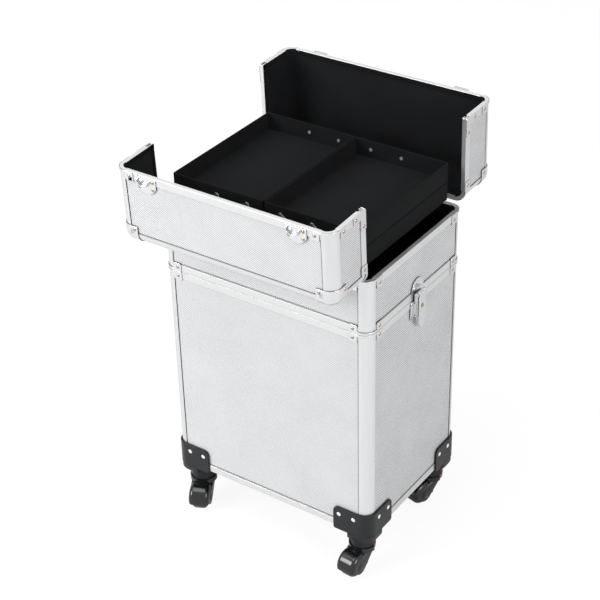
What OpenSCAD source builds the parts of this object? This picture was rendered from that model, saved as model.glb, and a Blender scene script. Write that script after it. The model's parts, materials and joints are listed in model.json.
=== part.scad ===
// Rolling makeup case: a tall trunk on four swivel casters, a lift-off upper box with a two-part
// lid that opens to the front and the back, and four cantilever trays on parallel arms.
// The case is drawn open: both lid halves stand upright and the trays are stowed.
// X runs along the wide face, Y from the front to the back, Z up from the floor.

/* [Case] */
// Width over the corner posts
case_w = 340; // [310:1:420]
// Depth over the corner posts
case_d = 243; // [225:1:300]
// Height of the trunk from its lower edge to the seam
trunk_h = 342; // [300:1:420]
// Height of the upper box from the seam to its rim
box_h = 82; // [74:1:120]
// Height of the closed lid above the rim
lid_h = 74.5; // [72:0.5:100]
// Distance of the lid's split from the middle, towards the back
lid_split = -8.5; // [-20:0.5:20]
// Height of the trunk's lower edge above the floor
ride_h = 78; // [76:0.5:84]

/* [Shell] */
// Outer radius of the rounded posts and lid rails
post_r = 16.5; // [15:0.5:20]
// Thickness of the panels
panel_t = 4; // [3.2:0.1:4.6]
// Depth of a panel's face behind the posts
panel_inset = 0.8; // [0.5:0.1:1]
// Width of the dark groove at a panel's edge
groove_w = 1.2; // [0.6:0.1:2]
// Depth of that groove
groove_d = 1.5; // [0.5:0.1:2]
// Sheet thickness of the edge bands
band_t = 1.2; // [0.9:0.1:1.4]
// Width of an edge band's outer leg
band_w = 11; // [9:0.5:13]
// Width of an edge band's inner leg
band_lip = 6; // [4:0.5:8]
// Gap between the trunk and the box, and between the rim and the lid
seam_gap = 0.4; // [0.3:0.1:1]
// Gap between the two lid halves
split_gap = 2; // [1.5:0.1:3]
// Thickness of the trunk's and the box's floors
floor_t = 5; // [3:0.5:8]
// Clearance round the floors
floor_gap = 0.15; // [0.1:0.05:0.3]

/* [Corner clips] */
// Length of a clip's leg from the corner
clip_leg = 31; // [28:0.5:36]
// Height of a clip's leg
clip_h = 13; // [11:0.5:15]
// Height of the clip's strip round the post
clip_waist = 3.5; // [2:0.5:5]
// Sheet thickness of the clips
clip_t = 1; // [0.8:0.1:1.4]
// Distance of a clip's rivet from the corner
clip_rivet_in = 24.8; // [23:0.1:27]
// Distance of a clip's rivet from the edge
clip_rivet_up = 6.7; // [5:0.1:8]
// Extra height of the clips at the box's rim
rim_extra = 2.3; // [0:0.1:4]
// Radius of a rivet's head
rivet_r = 2.6; // [2:0.1:3.2]
// Height of a rivet's head
rivet_h = 1.2; // [0.8:0.1:1.6]
// Length of a ball corner's collar along each rail
ball_collar = 11; // [6:0.5:14]

/* [Lid hinges] */
// Opening angle of the front lid half as drawn
front_open_angle = 92.7; // [80:0.1:95]
// Opening angle of the back lid half as drawn
back_open_angle = 88.2; // [80:0.1:95]
// Distance of the hinge axis in front of the face
hinge_out = 4; // [3.8:0.1:6]
// Radius of the hinge knuckles
knuckle_r = 2.8; // [2.5:0.1:2.9]
// Radius of the hinge pins
hinge_pin_r = 1.3; // [1:0.1:1.5]
// Length of a hinge
hinge_len = 240; // [180:5:260]
// Height of a hinge leaf
leaf_h = 17; // [14:0.5:20]

/* [Guards and casters] */
// Length of a corner guard's wing from the corner
guard_leg = 58; // [52:1:64]
// Height of a guard above the trunk's lower edge
guard_up = 36; // [32:1:44]
// Wall of a guard
guard_t = 2.4; // [2:0.1:3]
// Distances of a guard's rivets from the corner
guard_rivet_a = 24; // [22:0.1:27]
// Distance of the outer guard rivet from the corner
guard_rivet_b = 48.5; // [44:0.1:50]
// Height of a guard's rivets above the trunk's lower edge
guard_rivet_up = 24.5; // [20:0.5:27]
// Radius of a guard rivet's head
guard_rivet_r = 3.4; // [2.6:0.1:4]
// Distance of a caster's swivel axis from both faces
stem_in = 25; // [24:0.5:28]
// Depth of a guard's cup and neck below the trunk's lower edge
neck_drop = 34; // [33:0.5:35]
// Radius of the neck at its lower end
neck_r = 19; // [18:0.5:20]
// Radius of the swivel stem
stem_r = 6; // [4:0.5:7]
// Thickness of the coloured swivel ring
ring_t = 3; // [2:0.2:3.2]
// Radius of the wheels
wheel_r = 19; // [18.5:0.5:20.5]
// Width of the wheels
wheel_w = 24; // [18:0.5:28]
// Radius of the wheel axles
axle_r = 3; // [2:0.1:4]
// Distance of the axle from the swivel axis
trail = 25.5; // [25:0.5:30]
// Swivel angles as drawn, front left, front right, back left and back right
caster_turn = [24, -4, 10, -15];

/* [Trays] */
// Height of the lower trays' underside above the rim
tray_lift = 10; // [8:0.5:12]
// Gap between the lower and the upper tray
tray_gap = 1; // [0.6:0.1:2]
// Room between the upper trays and the closed lid
lid_head = 3.1; // [2.5:0.1:12]
// Room between the trays and the end walls
tray_side = 14; // [8:0.5:18]
// Gap between the left and the right trays
tray_mid = 1.2; // [0.8:0.1:3]
// Wall and floor of a tray
tray_t = 2; // [1.6:0.1:2.4]
// Corner radius of a tray
tray_r = 3; // [2.5:0.5:6]
// Room for the arms between the trays and the walls
arm_room = 4.7; // [4.4:0.1:6]
// Thickness of an arm
arm_t = 1.2; // [1:0.1:1.4]
// Width of an arm
arm_w = 8; // [6:0.5:9]
// Distance of the inner arm's pivot from the middle of the case
arm_in = 27; // [20:0.5:32]
// Distance of the outer arm's foot from the end wall
arm_end = 48.2; // [44:0.1:60]
// Sideways run of a stowed arm
arm_run = 40; // [36:0.5:42]
// Rise of a stowed upper arm
upper_rise = 26; // [24:0.5:28]
// Rise of a stowed lower arm
lower_rise = 30; // [29:0.5:36]
// Depth of the upper pivots below the upper tray's edge
pivot_drop = 13; // [11:0.5:15]
// Height of the lower arms' upper pivots above the lower tray's underside
pivot_up = 7; // [6:0.5:8]
// Radius of the pivot pins
arm_pin_r = 1.5; // [1.2:0.1:1.8]

/* [Latches] */
// Distance of the lid latches from the ends of the case
lid_latch_in = 52.5; // [50:0.5:80]
// Width of a lid latch's strike plate
strike_w = 32; // [28:0.5:36]
// Depth of a lid latch's strike plate
strike_d = 25; // [22:0.5:28]
// Height of the strike's pocket above the band
pocket_h = 6; // [4:0.5:6]
// Reach of a lid latch's hook past the split
hook_reach = 5.5; // [5:0.1:5.8]
// Distance of a lid latch's pivot from the split
lid_pivot_in = 26; // [24:0.5:30]
// Angle by which the lid latches' levers lie open as drawn
lid_lever_angle = 175; // [165:1:177]
// Width of the key latch's lever
key_lever_w = 18; // [14:0.5:20]
// Length of the key latch's lever below its pivot
key_lever_len = 54; // [44:0.5:56]
// Height of the key latch's pivot above the seam
key_pivot_up = 9; // [8:0.5:10]
// Distance of the key latch's pivot from the face
key_pivot_out = 6.2; // [6:0.1:7]
// Radius of the latch pins
latch_pin_r = 1.5; // [1.2:0.1:1.7]

/* [Trolley handle] */
// Distance between the handle's tubes
tube_pitch = 104; // [90:1:110]
// Distance of the tubes' axes from the side face
tube_out = 18.5; // [18:0.5:20]
// Outer radius of the fixed sleeves
sleeve_r = 8.6; // [8.4:0.1:9.4]
// Wall of the sleeves and tubes
tube_t = 1; // [0.8:0.1:1.2]
// Clearance between the telescoping tubes
tube_gap = 0.3; // [0.25:0.05:0.4]
// Depth of the upper bracket's top below the seam
bracket_drop = 56; // [52:1:70]
// Height of the brackets
bracket_h = 26; // [20:1:34]
// Height of the grip's underside above the seam
grip_up = 30; // [26:1:36]
// Height of the grip
grip_h = 24; // [20:1:28]
// Height of the sleeves' lower ends above the guards
sleeve_low = 2; // [0:1:12]

/* [Hidden] */
$fn = 64;
e = 0.01;
run_fit = 0.05;
open_fit = 0.35;

wall_in = panel_inset + panel_t;
band_out = band_t - panel_inset;
clip_out = band_out + clip_t;
hw = case_w / 2;
hd = case_d / 2;
z_bot = ride_h;
z_seam = z_bot + trunk_h;
z_box = z_seam + seam_gap;
z_rim = z_box + box_h;
z_lid = z_rim + seam_gap;
front_len = hd + lid_split - split_gap / 2;
back_len = hd - lid_split - split_gap / 2;

tray_h = (lid_h + seam_gap - wall_in - tray_lift - tray_gap - lid_head) / 2;
tray_w = hw - wall_in - tray_side - tray_mid / 2;
tray_d = case_d - 2 * (wall_in + arm_room);
z_low_tray = z_rim + tray_lift;
z_up_tray = z_low_tray + tray_h + tray_gap;
z_up_pivot = z_up_tray + tray_h - pivot_drop;
z_up_foot = z_up_pivot - upper_rise;
z_low_pivot = z_low_tray + pivot_up;
z_low_foot = z_low_pivot - lower_rise;
arm_y = tray_d / 2 + 0.4;
arm_head = 0.8;
arm_pitch = hw - wall_in - arm_end - arm_run - arm_in;

guard_gap = band_out + 0.2;
guard_out = guard_gap + guard_t;
z_neck = z_bot - neck_drop;
z_fork = z_neck - ring_t - 0.4;
fork_t = 3.4;
fork_r = neck_r - 0.5;
wheel_gap = 0.8;
wheel_round = 7;
hood_t = 1.4;
cheek_t = 3;
cheek_gap = 0.8;
cheek_r = wheel_r - 7;
lip_gap = 0.4;
lip_t = 1.4;
lip_over = 0.8;
stem_len = 18;

key_face = band_out + 0.1;
key_base_t = 1.5;
lever_t = 2.2;
key_barrel_r = 3.2;
lid_face = band_out + 0.1;
lid_latch_x = hw - lid_latch_in;
lid_base_t = 1.4;
lid_pivot_out = 6;
lid_barrel_r = 2.9;
hook_n = lid_face + pocket_h + 1.4;

mid_r = sleeve_r - tube_t - tube_gap;
rod_r = mid_r - tube_t - tube_gap;
tube_x = -hw - tube_out;
z_sleeve = z_bot + guard_up + sleeve_low;
z_sleeve_top = z_seam - bracket_drop + 4;
z_grip = z_seam + grip_up;
bracket_y = tube_pitch / 2 + sleeve_r + 5;
grip_in = tube_out - sleeve_r - 1.5;
grip_d = 2 * (sleeve_r + 1.5);

// Half the case across face k, and the length of its panel: front 0, right 1, back 2, left 3
function half(k) = k % 2 == 0 ? hd : hw;
function reach(k) = k % 2 == 0 ? hw : hd;
function span(k) = 2 * (reach(k) - post_r);

// Face k seen from outside: x to the right, z up, -y outwards from the posts' plane
module on_side(k) {
    rotate([0, 0, 90 * k]) translate([0, -half(k), 0]) children();
}

module flip_if(on, v) {
    if (on) mirror(v) children();
    else children();
}

// The four post axes, with +x and +y pointing out of the case
module at_corners() {
    for (mx = [false, true], my = [false, true])
        flip_if(mx, [1, 0, 0]) flip_if(my, [0, 1, 0])
            translate([hw - post_r, hd - post_r, 0]) children();
}

module rounded_rect(w, d, r) {
    union() {
        square([w - 2 * r, d], center = true);
        square([w, d - 2 * r], center = true);
        for (x = [-1, 1], y = [-1, 1]) translate([x * (w / 2 - r), y * (d / 2 - r)]) circle(r);
    }
}

// Panel with a groove along its two side edges and, where asked, above its lower edge
module panel(len, h, low = 0) {
    difference() {
        translate([-len / 2, panel_inset, 0]) cube([len, panel_t, h]);
        for (s = [-1, 1])
            translate([s * (len - groove_w) / 2 - groove_w / 2, panel_inset - 1, -1])
                cube([groove_w, 1 + groove_d, h + 2]);
        if (low > 0)
            translate([-len / 2 - 1, panel_inset - 1, low])
                cube([len + 2, 1 + groove_d, groove_w]);
    }
}

// Channel that caps the upper edge of a panel, with the edge at z = 0
module edge_band(len) {
    o = -band_out;
    i = wall_in + band_t;
    rotate([90, 0, 90]) translate([0, 0, -len / 2]) linear_extrude(len)
        polygon([[o, 0], [i, 0], [i, -band_lip], [wall_in, -band_lip], [wall_in, -band_t],
                 [panel_inset, -band_t], [panel_inset, -band_w], [o, -band_w]]);
}

// Quarter-round extrusion of the posts and rails
module post_section() {
    difference() {
        intersection() {
            circle(post_r);
            square(post_r + 1);
        }
        circle(post_r - wall_in);
    }
}

// Plan of a strip that wraps a post, with a leg along each face
module wrap_section(leg, gap, t) {
    r = post_r + gap;
    l = leg - post_r;
    union() {
        difference() {
            intersection() {
                circle(r + t);
                square(r + t + 1);
            }
            circle(r);
        }
        translate([r, -l]) square([t, l]);
        translate([-l, r]) square([l, t]);
    }
}

// Waste at a rounded leg corner: a along the leg, b up, cut through the sheet
module corner_waste(r, t) {
    linear_extrude(t) difference() {
        translate([-1, -r]) square([r + 1, r + 1]);
        translate([r, -r]) circle(r);
    }
}

module leg_waste(leg, gap, t, z, r) {
    l = leg - post_r;
    o = post_r + gap;
    translate([o - 1, -l, z]) rotate([90, 0, 90]) corner_waste(r, t + 2);
    translate([-l, o + t + 1, z]) rotate([90, 0, 0]) corner_waste(r, t + 2);
}

// Corner clip: two legs joined by a narrow strip round the post, the seam edge at z = 0
module wrap_clip(h = clip_h) {
    difference() {
        linear_extrude(h) wrap_section(clip_leg, band_out, clip_t);
        translate([-1.5, -1.5, clip_waist]) cube([2 * post_r, 2 * post_r, h]);
        leg_waste(clip_leg, band_out, clip_t, h, 3);
    }
}

// Domed rivet head on the plane y = 0, standing out towards -y
module rivet(r = rivet_r, h = rivet_h) {
    c = (r * r + h * h) / (2 * h);
    rotate([90, 0, 0]) rotate_extrude() intersection() {
        translate([0, h - c]) circle(c);
        square([r, h]);
    }
}

// The two rivets on a clip of the corner between faces k and k + 1, at height z
module clip_rivets(z) {
    for (k = [0:3], s = [-1, 1])
        on_side(k) translate([s * (reach(k) - clip_rivet_in), -clip_out, z]) rivet();
}

// Trunk

module trunk_panels() {
    color([0.86, 0.87, 0.88])
        for (k = [0:3])
            on_side(k) translate([0, 0, z_bot + band_t])
                panel(span(k), trunk_h - 2 * band_t, band_w);
}

module floor_plate(z) {
    translate([0, 0, z]) linear_extrude(floor_t)
        rounded_rect(case_w - 2 * wall_in - 2 * floor_gap, case_d - 2 * wall_in - 2 * floor_gap,
                     post_r - wall_in - floor_gap);
}

module trunk_floor() {
    color([0.07, 0.07, 0.07]) floor_plate(z_bot + band_lip + floor_gap);
}

module trunk_posts() {
    color([0.8, 0.81, 0.81])
        at_corners() translate([0, 0, z_bot]) linear_extrude(trunk_h) post_section();
}

module trunk_bands() {
    color([0.82, 0.83, 0.84])
        for (k = [0:3]) on_side(k) {
            translate([0, 0, z_seam]) edge_band(span(k));
            translate([0, 0, z_bot]) mirror([0, 0, 1]) edge_band(span(k));
        }
}

module trunk_clips() {
    color([0.75, 0.76, 0.77])
        at_corners() translate([0, 0, z_seam]) mirror([0, 0, 1]) wrap_clip();
}

module trunk_rivets() {
    color([0.85, 0.77, 0.62]) {
        clip_rivets(z_seam - clip_rivet_up);
        for (k = [0:3], s = [-1, 1], a = [guard_rivet_a, guard_rivet_b])
            on_side(k) translate([s * (reach(k) - a), -guard_out, z_bot + guard_rivet_up])
                rivet(guard_rivet_r, rivet_h);
    }
}

// Moulded guard: wings on both faces and a cup below that narrows to the caster's neck
module corner_guard() {
    s = post_r - stem_in;
    out = post_r + guard_out - 0.6;
    cup = 21;
    difference() {
        union() {
            difference() {
                translate([0, 0, -4]) linear_extrude(guard_up + 4)
                    wrap_section(guard_leg, guard_gap, guard_t);
                leg_waste(guard_leg, guard_gap, guard_t, guard_up, 8);
                mirror([0, 0, 1]) leg_waste(guard_leg, guard_gap, guard_t, 4, 4);
            }
            hull() {
                for (p = [[0, 0, out], [-cup + 6, out - 6, 6], [out - 6, -cup + 6, 6],
                          [-cup + 6, -cup + 6, 6]])
                    translate([p[0], p[1], -13]) cylinder(r = p[2], h = 12.4, $fn = 32);
                translate([s, s, -19]) cylinder(r = neck_r - 4, h = 1, $fn = 32);
            }
            translate([s, s, -neck_drop])
                cylinder(r1 = neck_r, r2 = neck_r - 2.5, h = neck_drop - 12);
        }
        translate([s, s, -neck_drop - 1]) cylinder(r = stem_r + run_fit, h = stem_len + 2);
    }
}

module corner_guards() {
    color([0.05, 0.05, 0.055]) at_corners() translate([0, 0, z_bot]) corner_guard();
}

module swivel_rings() {
    color([0.6, 0.08, 0.08])
        at_corners() translate([post_r - stem_in, post_r - stem_in, z_neck - ring_t])
            difference() {
                cylinder(r = neck_r - 0.1, h = ring_t);
                translate([0, 0, -1]) cylinder(r = stem_r + 0.6, h = ring_t + 2);
            }
}

// Key latches on the two narrow faces, at the middle of the seam
module at_key_latches() {
    for (k = [1, 3]) on_side(k) translate([0, 0, z_seam]) children();
}

// Base on the trunk: a plate with two ears that reach past the seam and hold the lever's pin
module key_latch_bases() {
    ear_y = key_face + key_base_t;
    ear_x = key_lever_w / 2 + 0.8;
    color([0.72, 0.73, 0.74]) at_key_latches() difference() {
        union() {
            translate([0, -key_face, -16]) rotate([90, 0, 0]) linear_extrude(key_base_t)
                rounded_rect(2 * ear_x + 16, 29, 5);
            for (s = [-1, 1]) {
                translate([s * (ear_x + 0.8) - 0.8, -ear_y - 4.4, -26])
                    cube([1.6, 4.4 + e, 23]);
                translate([s * (ear_x + 0.8) - 0.8, -key_pivot_out - 2, -26])
                    cube([1.6, key_pivot_out + 2 - ear_y - 1.2, key_pivot_up + 26]);
                translate([s * (ear_x + 0.8) - 0.8, -key_pivot_out, key_pivot_up])
                    rotate([0, 90, 0]) cylinder(r = 3, h = 1.6);
            }
            translate([-ear_x - 1, -key_pivot_out, key_pivot_up]) rotate([0, 90, 0])
                cylinder(r = latch_pin_r, h = 2 * ear_x + 2);
        }
        for (x = [-1, 1], z = [-6, -26])
            translate([x * (ear_x + 5), -key_face + 1, z]) rotate([90, 0, 0])
                cylinder(r = 1.4, h = key_base_t + 3);
    }
}

// Rounded plate on the box with a raised hook over the lever's barrel
module key_strikes() {
    y = key_face;
    color([0.75, 0.76, 0.77]) at_key_latches() translate([0, 0, seam_gap]) {
        difference() {
            translate([0, -y, 0]) rotate([90, 0, 0]) linear_extrude(1) union() {
                intersection() {
                    translate([0, 14]) circle(15);
                    translate([-15, 14]) square([30, 16]);
                }
                translate([-15, 1]) square([30, 13]);
            }
            for (s = [-1, 1])
                translate([s * 9.5, -y + 1, 17.5]) rotate([90, 0, 0])
                    cylinder(r = 1.4, h = 4);
        }
        translate([-5.5, -y - 1, 15.4]) rotate([90, 0, 90]) linear_extrude(11)
            polygon([[e, 0], [-3.4, 0], [-4.4, 1], [-4.4, 3], [-3.2, 3], [-3.2, 2], [e, 2]]);
        for (s = [-1, 1])
            translate([s * 9.5, -y - 1, 17.5]) rivet();
    }
}

// Lever: a barrel on the pin, a cover plate from a round head to a tapered thumb end, and two side walls
module key_lever() {
    w = key_lever_w;
    l = key_lever_len;
    out = key_barrel_r;
    head = out - 0.3 - w / 2;
    translate([0, -key_pivot_out, key_pivot_up]) difference() {
        union() {
            rotate([0, 90, 0]) translate([0, 0, -w / 2]) cylinder(r = key_barrel_r, h = w);
            translate([0, -out + lever_t, 0]) rotate([90, 0, 0]) linear_extrude(lever_t) union() {
                translate([0, head]) circle(w / 2);
                polygon([[-w / 2, head], [w / 2, head], [w / 2, 10 - l], [w / 4, -l],
                         [-w / 4, -l], [-w / 2, 10 - l]]);
            }
            for (s = [-1, 1])
                translate([s * (w / 2 - 0.7) - 0.7, -out + lever_t - e, 12 - l])
                    cube([1.4, 2.4, l - 12 + head]);
        }
        rotate([0, 90, 0]) translate([0, 0, -w])
            cylinder(r = latch_pin_r + run_fit, h = 2 * w);
        translate([0, -out - 1, -20]) rotate([90, 0, 0]) mirror([0, 0, 1])
            cylinder(r = 3.4, h = 1.6);
    }
    translate([0, -key_pivot_out - out + 0.6, key_pivot_up - 20]) rotate([90, 0, 0])
        difference() {
            cylinder(r = 3.2, h = 1);
            translate([-0.5, -1.8, 0.4]) cube([1, 3.6, 2]);
        }
}

module key_lever_left() {
    color([0.78, 0.79, 0.8]) on_side(3) translate([0, 0, z_seam]) key_lever();
}

module key_lever_right() {
    color([0.78, 0.79, 0.8]) on_side(1) translate([0, 0, z_seam]) key_lever();
}

// Upper box

// Places the lower arms' pivots: side s, inner arm 0 or outer arm 1, front and back
module at_box_pivots() {
    for (s = [-1, 1], a = [0, 1], b = [false, true])
        flip_if(b, [0, 1, 0])
            translate([s * (arm_in + arm_run + a * arm_pitch), -hd + wall_in, z_low_foot])
                children();
}

module box_panels() {
    color([0.86, 0.87, 0.88]) difference() {
        for (k = [0:3])
            on_side(k) translate([0, 0, z_box + band_t])
                panel(span(k), box_h - 2 * band_t, band_w);
        at_box_pivots() rotate([90, 0, 0]) translate([0, 0, -1])
            cylinder(r = arm_pin_r + run_fit, h = panel_t - 0.6 + 1);
    }
}

module box_floor() {
    color([0.07, 0.07, 0.07]) floor_plate(z_box + band_lip + floor_gap);
}

module box_posts() {
    color([0.8, 0.81, 0.81])
        at_corners() translate([0, 0, z_box]) linear_extrude(box_h) post_section();
}

module box_bands() {
    color([0.82, 0.83, 0.84])
        for (k = [0:3]) on_side(k) {
            translate([0, 0, z_rim]) edge_band(span(k));
            translate([0, 0, z_box]) mirror([0, 0, 1]) edge_band(span(k));
        }
}

module box_clips() {
    color([0.75, 0.76, 0.77]) at_corners() {
        translate([0, 0, z_box]) wrap_clip();
        translate([0, 0, z_rim]) mirror([0, 0, 1]) wrap_clip(clip_h + rim_extra);
    }
}

module box_rivets() {
    color([0.85, 0.77, 0.62]) {
        clip_rivets(z_box + clip_rivet_up);
        clip_rivets(z_rim - clip_rivet_up - rim_extra);
    }
}

// Hinge leaf with its knuckles: the leaf hangs below the axis, segments from first to last by two
module hinge_leaf(first, last) {
    seg = hinge_len / 5;
    bridge = hinge_out - band_out;
    leaf_top = 0.8;
    difference() {
        union() {
            for (i = [first:2:last]) translate([(i - 2.5) * seg + 0.2, 0, 0]) {
                rotate([0, 90, 0]) cylinder(r = knuckle_r, h = seg - 0.4);
                translate([0, 0, -knuckle_r]) cube([seg - 0.4, bridge, leaf_top]);
            }
            translate([-hinge_len / 2 + 0.2, bridge - 1, -leaf_h])
                cube([hinge_len - 0.4, 1, leaf_h - knuckle_r + leaf_top]);
        }
        if (first == 1)
            translate([-hinge_len, 0, 0]) rotate([0, 90, 0])
                cylinder(r = hinge_pin_r + run_fit, h = 2 * hinge_len);
    }
}

module box_hinges() {
    color([0.7, 0.71, 0.72]) for (b = [false, true])
        flip_if(b, [0, 1, 0]) translate([0, -hd - hinge_out, z_rim + seam_gap / 2]) union() {
            hinge_leaf(0, 4);
            translate([-hinge_len / 2 + 1, 0, 0]) rotate([0, 90, 0])
                cylinder(r = hinge_pin_r, h = hinge_len - 2);
        }
}

// Lid halves, drawn closed with the outer wall's face at y = 0, the split at y = len and the
// rim plane at z = 0, then swung open about the hinge axis

module swing(angle) {
    translate([0, -hinge_out, -seam_gap / 2]) rotate([angle, 0, 0])
        translate([0, hinge_out, seam_gap / 2]) children();
}

module in_front_lid() {
    translate([0, -hd, z_lid]) swing(front_open_angle) children();
}

module in_back_lid() {
    mirror([0, 1, 0]) translate([0, -hd, z_lid]) swing(back_open_angle) children();
}

module both_ends() {
    for (m = [false, true]) flip_if(m, [1, 0, 0]) children();
}

module lid_panels(len) {
    wall_h = lid_h - post_r - band_t;
    depth = len - post_r - band_t;
    translate([0, 0, band_t]) panel(case_w - 2 * post_r, wall_h);
    translate([0, post_r, lid_h]) rotate([-90, 0, 0])
        panel(case_w - 2 * post_r, depth, groove_w / 2);
    both_ends() translate([hw, post_r + depth / 2, band_t]) rotate([0, 0, 90])
        panel(depth, wall_h);
}

module lid_rails(len) {
    z = lid_h - post_r;
    translate([-hw + post_r, post_r, z]) rotate([90, 0, 90])
        linear_extrude(case_w - 2 * post_r) mirror([1, 0]) post_section();
    both_ends() {
        translate([hw - post_r, len, z]) rotate([90, 0, 0])
            linear_extrude(len - post_r) post_section();
        translate([hw - post_r, post_r, 0]) linear_extrude(z) mirror([0, 1]) post_section();
    }
}

module lid_bands(len) {
    depth = len - post_r;
    wall_h = lid_h - post_r;
    mirror([0, 0, 1]) edge_band(case_w - 2 * post_r);
    translate([0, len, lid_h]) rotate([-90, 0, 0]) edge_band(case_w - 2 * post_r);
    both_ends() {
        translate([hw, post_r + depth / 2, 0]) rotate([0, 0, 90]) mirror([0, 0, 1])
            edge_band(depth);
        translate([hw, len, band_w + (wall_h - band_w) / 2]) rotate([0, 90, 90])
            edge_band(wall_h - band_w);
    }
}

// Flat L-shaped clip at the free corner of an end wall
module flat_clip(len) {
    leg = clip_leg - 3;
    translate([hw + band_out, len, 0]) rotate([90, 0, 90]) linear_extrude(clip_t) union() {
        translate([-leg, 0]) square([leg - 2, band_w]);
        translate([-band_w, 2]) square([band_w, leg - 2]);
        translate([-2, 2]) circle(2);
        translate([-band_w, 0]) square([band_w - 2, band_w]);
    }
}

module lid_clips(len) {
    both_ends() {
        translate([hw - post_r, post_r, 0]) mirror([0, 1, 0]) wrap_clip();
        translate([hw - post_r, len, lid_h - post_r]) rotate([90, 0, 0]) wrap_clip();
        flat_clip(len);
        translate([hw - post_r, post_r, lid_h - post_r]) mirror([0, 1, 0]) ball_corner();
    }
}

// Ball corner: a rounded cap over the meeting point of three rails, with a collar on each
module ball_corner() {
    r = post_r + band_out;
    l = ball_collar;
    module collar() {
        translate([0, 0, -l]) linear_extrude(l) difference() {
            union() {
                intersection() {
                    circle(r + clip_t);
                    square(r + clip_t + 1);
                }
                translate([r, -l]) square([clip_t, l]);
                translate([-l, r]) square([l, clip_t]);
            }
            circle(r);
        }
    }
    union() {
        difference() {
            sphere(r + clip_t);
            sphere(post_r - wall_in);
            for (v = [[90, 0, 0], [0, -90, 0], [180, 0, 0]])
                rotate(v) cylinder(r = 2 * r, h = 2 * r);
        }
        collar();
        rotate([90, 0, 90]) collar();
        rotate([-90, -90, 0]) collar();
    }
}

module lid_rivets(len) {
    c = clip_rivet_in;
    u = clip_rivet_up;
    b = post_r + ball_collar / 2 + 0.5;
    both_ends() {
        // rim clip at the outer post
        translate([hw - c, -clip_out, u]) rivet();
        translate([hw + clip_out, c, u]) rotate([0, 0, 90]) rivet();
        // split clip over the end rail
        translate([hw - c, len - u, lid_h + clip_out]) rotate([-90, 0, 0]) rivet();
        translate([hw + clip_out, len - u, lid_h - c]) rotate([0, 0, 90]) rivet();
        // flat clip at the free corner of the end wall
        translate([hw + clip_out, len - c + 2, band_w / 2]) rotate([0, 0, 90]) rivet();
        translate([hw + clip_out, len - band_w / 2, c - 2]) rotate([0, 0, 90]) rivet();
        // ball corner
        translate([hw - b, -clip_out, lid_h - b]) rivet();
        translate([hw - b, b, lid_h + clip_out]) rotate([-90, 0, 0]) rivet();
        translate([hw + clip_out, b, lid_h - b]) rotate([0, 0, 90]) rivet();
    }
}

module lid_hinge() {
    translate([0, -hinge_out, -seam_gap / 2]) mirror([0, 0, 1]) hinge_leaf(1, 3);
}

module front_lid_panels() {
    color([0.88, 0.89, 0.9]) in_front_lid() lid_panels(front_len);
}

module front_lid_rails() {
    color([0.82, 0.83, 0.83]) in_front_lid() lid_rails(front_len);
}

module front_lid_bands() {
    color([0.84, 0.85, 0.86]) in_front_lid() lid_bands(front_len);
}

module front_lid_clips() {
    color([0.75, 0.76, 0.77]) in_front_lid() lid_clips(front_len);
}

module front_lid_rivets() {
    color([0.85, 0.77, 0.62]) in_front_lid() {
        lid_rivets(front_len);
        at_lid_latches(front_len) for (p = [[11, 6], [11, 17], [-11, 17]])
            translate([p[0], p[1], lid_face + 1]) rotate([-90, 0, 0]) rivet();
    }
}

module front_lid_hinge() {
    color([0.7, 0.71, 0.72]) in_front_lid() lid_hinge();
}

// The two latch places on a lid's top: y runs from the split into the lid, z out of its face
module at_lid_latches(len) {
    for (s = [-1, 1]) translate([s * lid_latch_x, len, lid_h]) mirror([0, 1, 0]) children();
}

// Strike: a D-shaped plate with a pressed pocket whose mouth faces the split
module lid_strikes() {
    r = 10;
    color([0.75, 0.76, 0.77]) in_front_lid() at_lid_latches(front_len)
        translate([0, 0, lid_face]) {
            linear_extrude(1) union() {
                translate([-strike_w / 2, 2]) square([strike_w, strike_d - 14]);
                intersection() {
                    translate([0, strike_d - 18]) circle(18);
                    translate([-strike_w / 2, 3]) square([strike_w, strike_d]);
                }
            }
            translate([-3, 4.5, 1 - e]) difference() {
                intersection() {
                    scale(pocket_h - 1) sphere(2.1);
                    translate([-r, 0, 0]) cube([2 * r, r, pocket_h - 1]);
                }
                scale(pocket_h - 1) sphere(1.86);
            }
        }
}

module back_lid_panels() {
    color([0.88, 0.89, 0.9]) in_back_lid() lid_panels(back_len);
}

module back_lid_rails() {
    color([0.82, 0.83, 0.83]) in_back_lid() lid_rails(back_len);
}

module back_lid_bands() {
    color([0.84, 0.85, 0.86]) in_back_lid() lid_bands(back_len);
}

module back_lid_clips() {
    color([0.75, 0.76, 0.77]) in_back_lid() lid_clips(back_len);
}

module back_lid_rivets() {
    color([0.85, 0.77, 0.62]) in_back_lid() lid_rivets(back_len);
}

module back_lid_hinge() {
    color([0.7, 0.71, 0.72]) in_back_lid() lid_hinge();
}

// Latch base on the back lid: a plate with two ears, the lever's pin and a bridge that stops the lever
module lid_latch_bases() {
    w = 16;
    color([0.72, 0.73, 0.74]) in_back_lid() at_lid_latches(back_len)
        translate([0, 0, lid_face]) {
            translate([0, lid_pivot_in - 9]) linear_extrude(lid_base_t)
                rounded_rect(w + 12, 30, 5);
            for (s = [-1, 1]) {
                translate([s * (w / 2 + 1.4) - 0.8, lid_pivot_in - 3.5, lid_base_t - e])
                    cube([1.6, 7, lid_pivot_out - lid_base_t]);
                translate([s * (w / 2 + 1.4) - 0.8, lid_pivot_in, lid_pivot_out])
                    rotate([0, 90, 0]) cylinder(r = 3.5, h = 1.6);
            }
            translate([-w / 2 - 1, lid_pivot_in, lid_pivot_out]) rotate([0, 90, 0])
                cylinder(r = latch_pin_r, h = w + 2);
            translate([-w / 2 - 3, 1.2, 0]) cube([w + 6, 1.6, hook_n - lid_face - 0.4]);
        }
}

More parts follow.
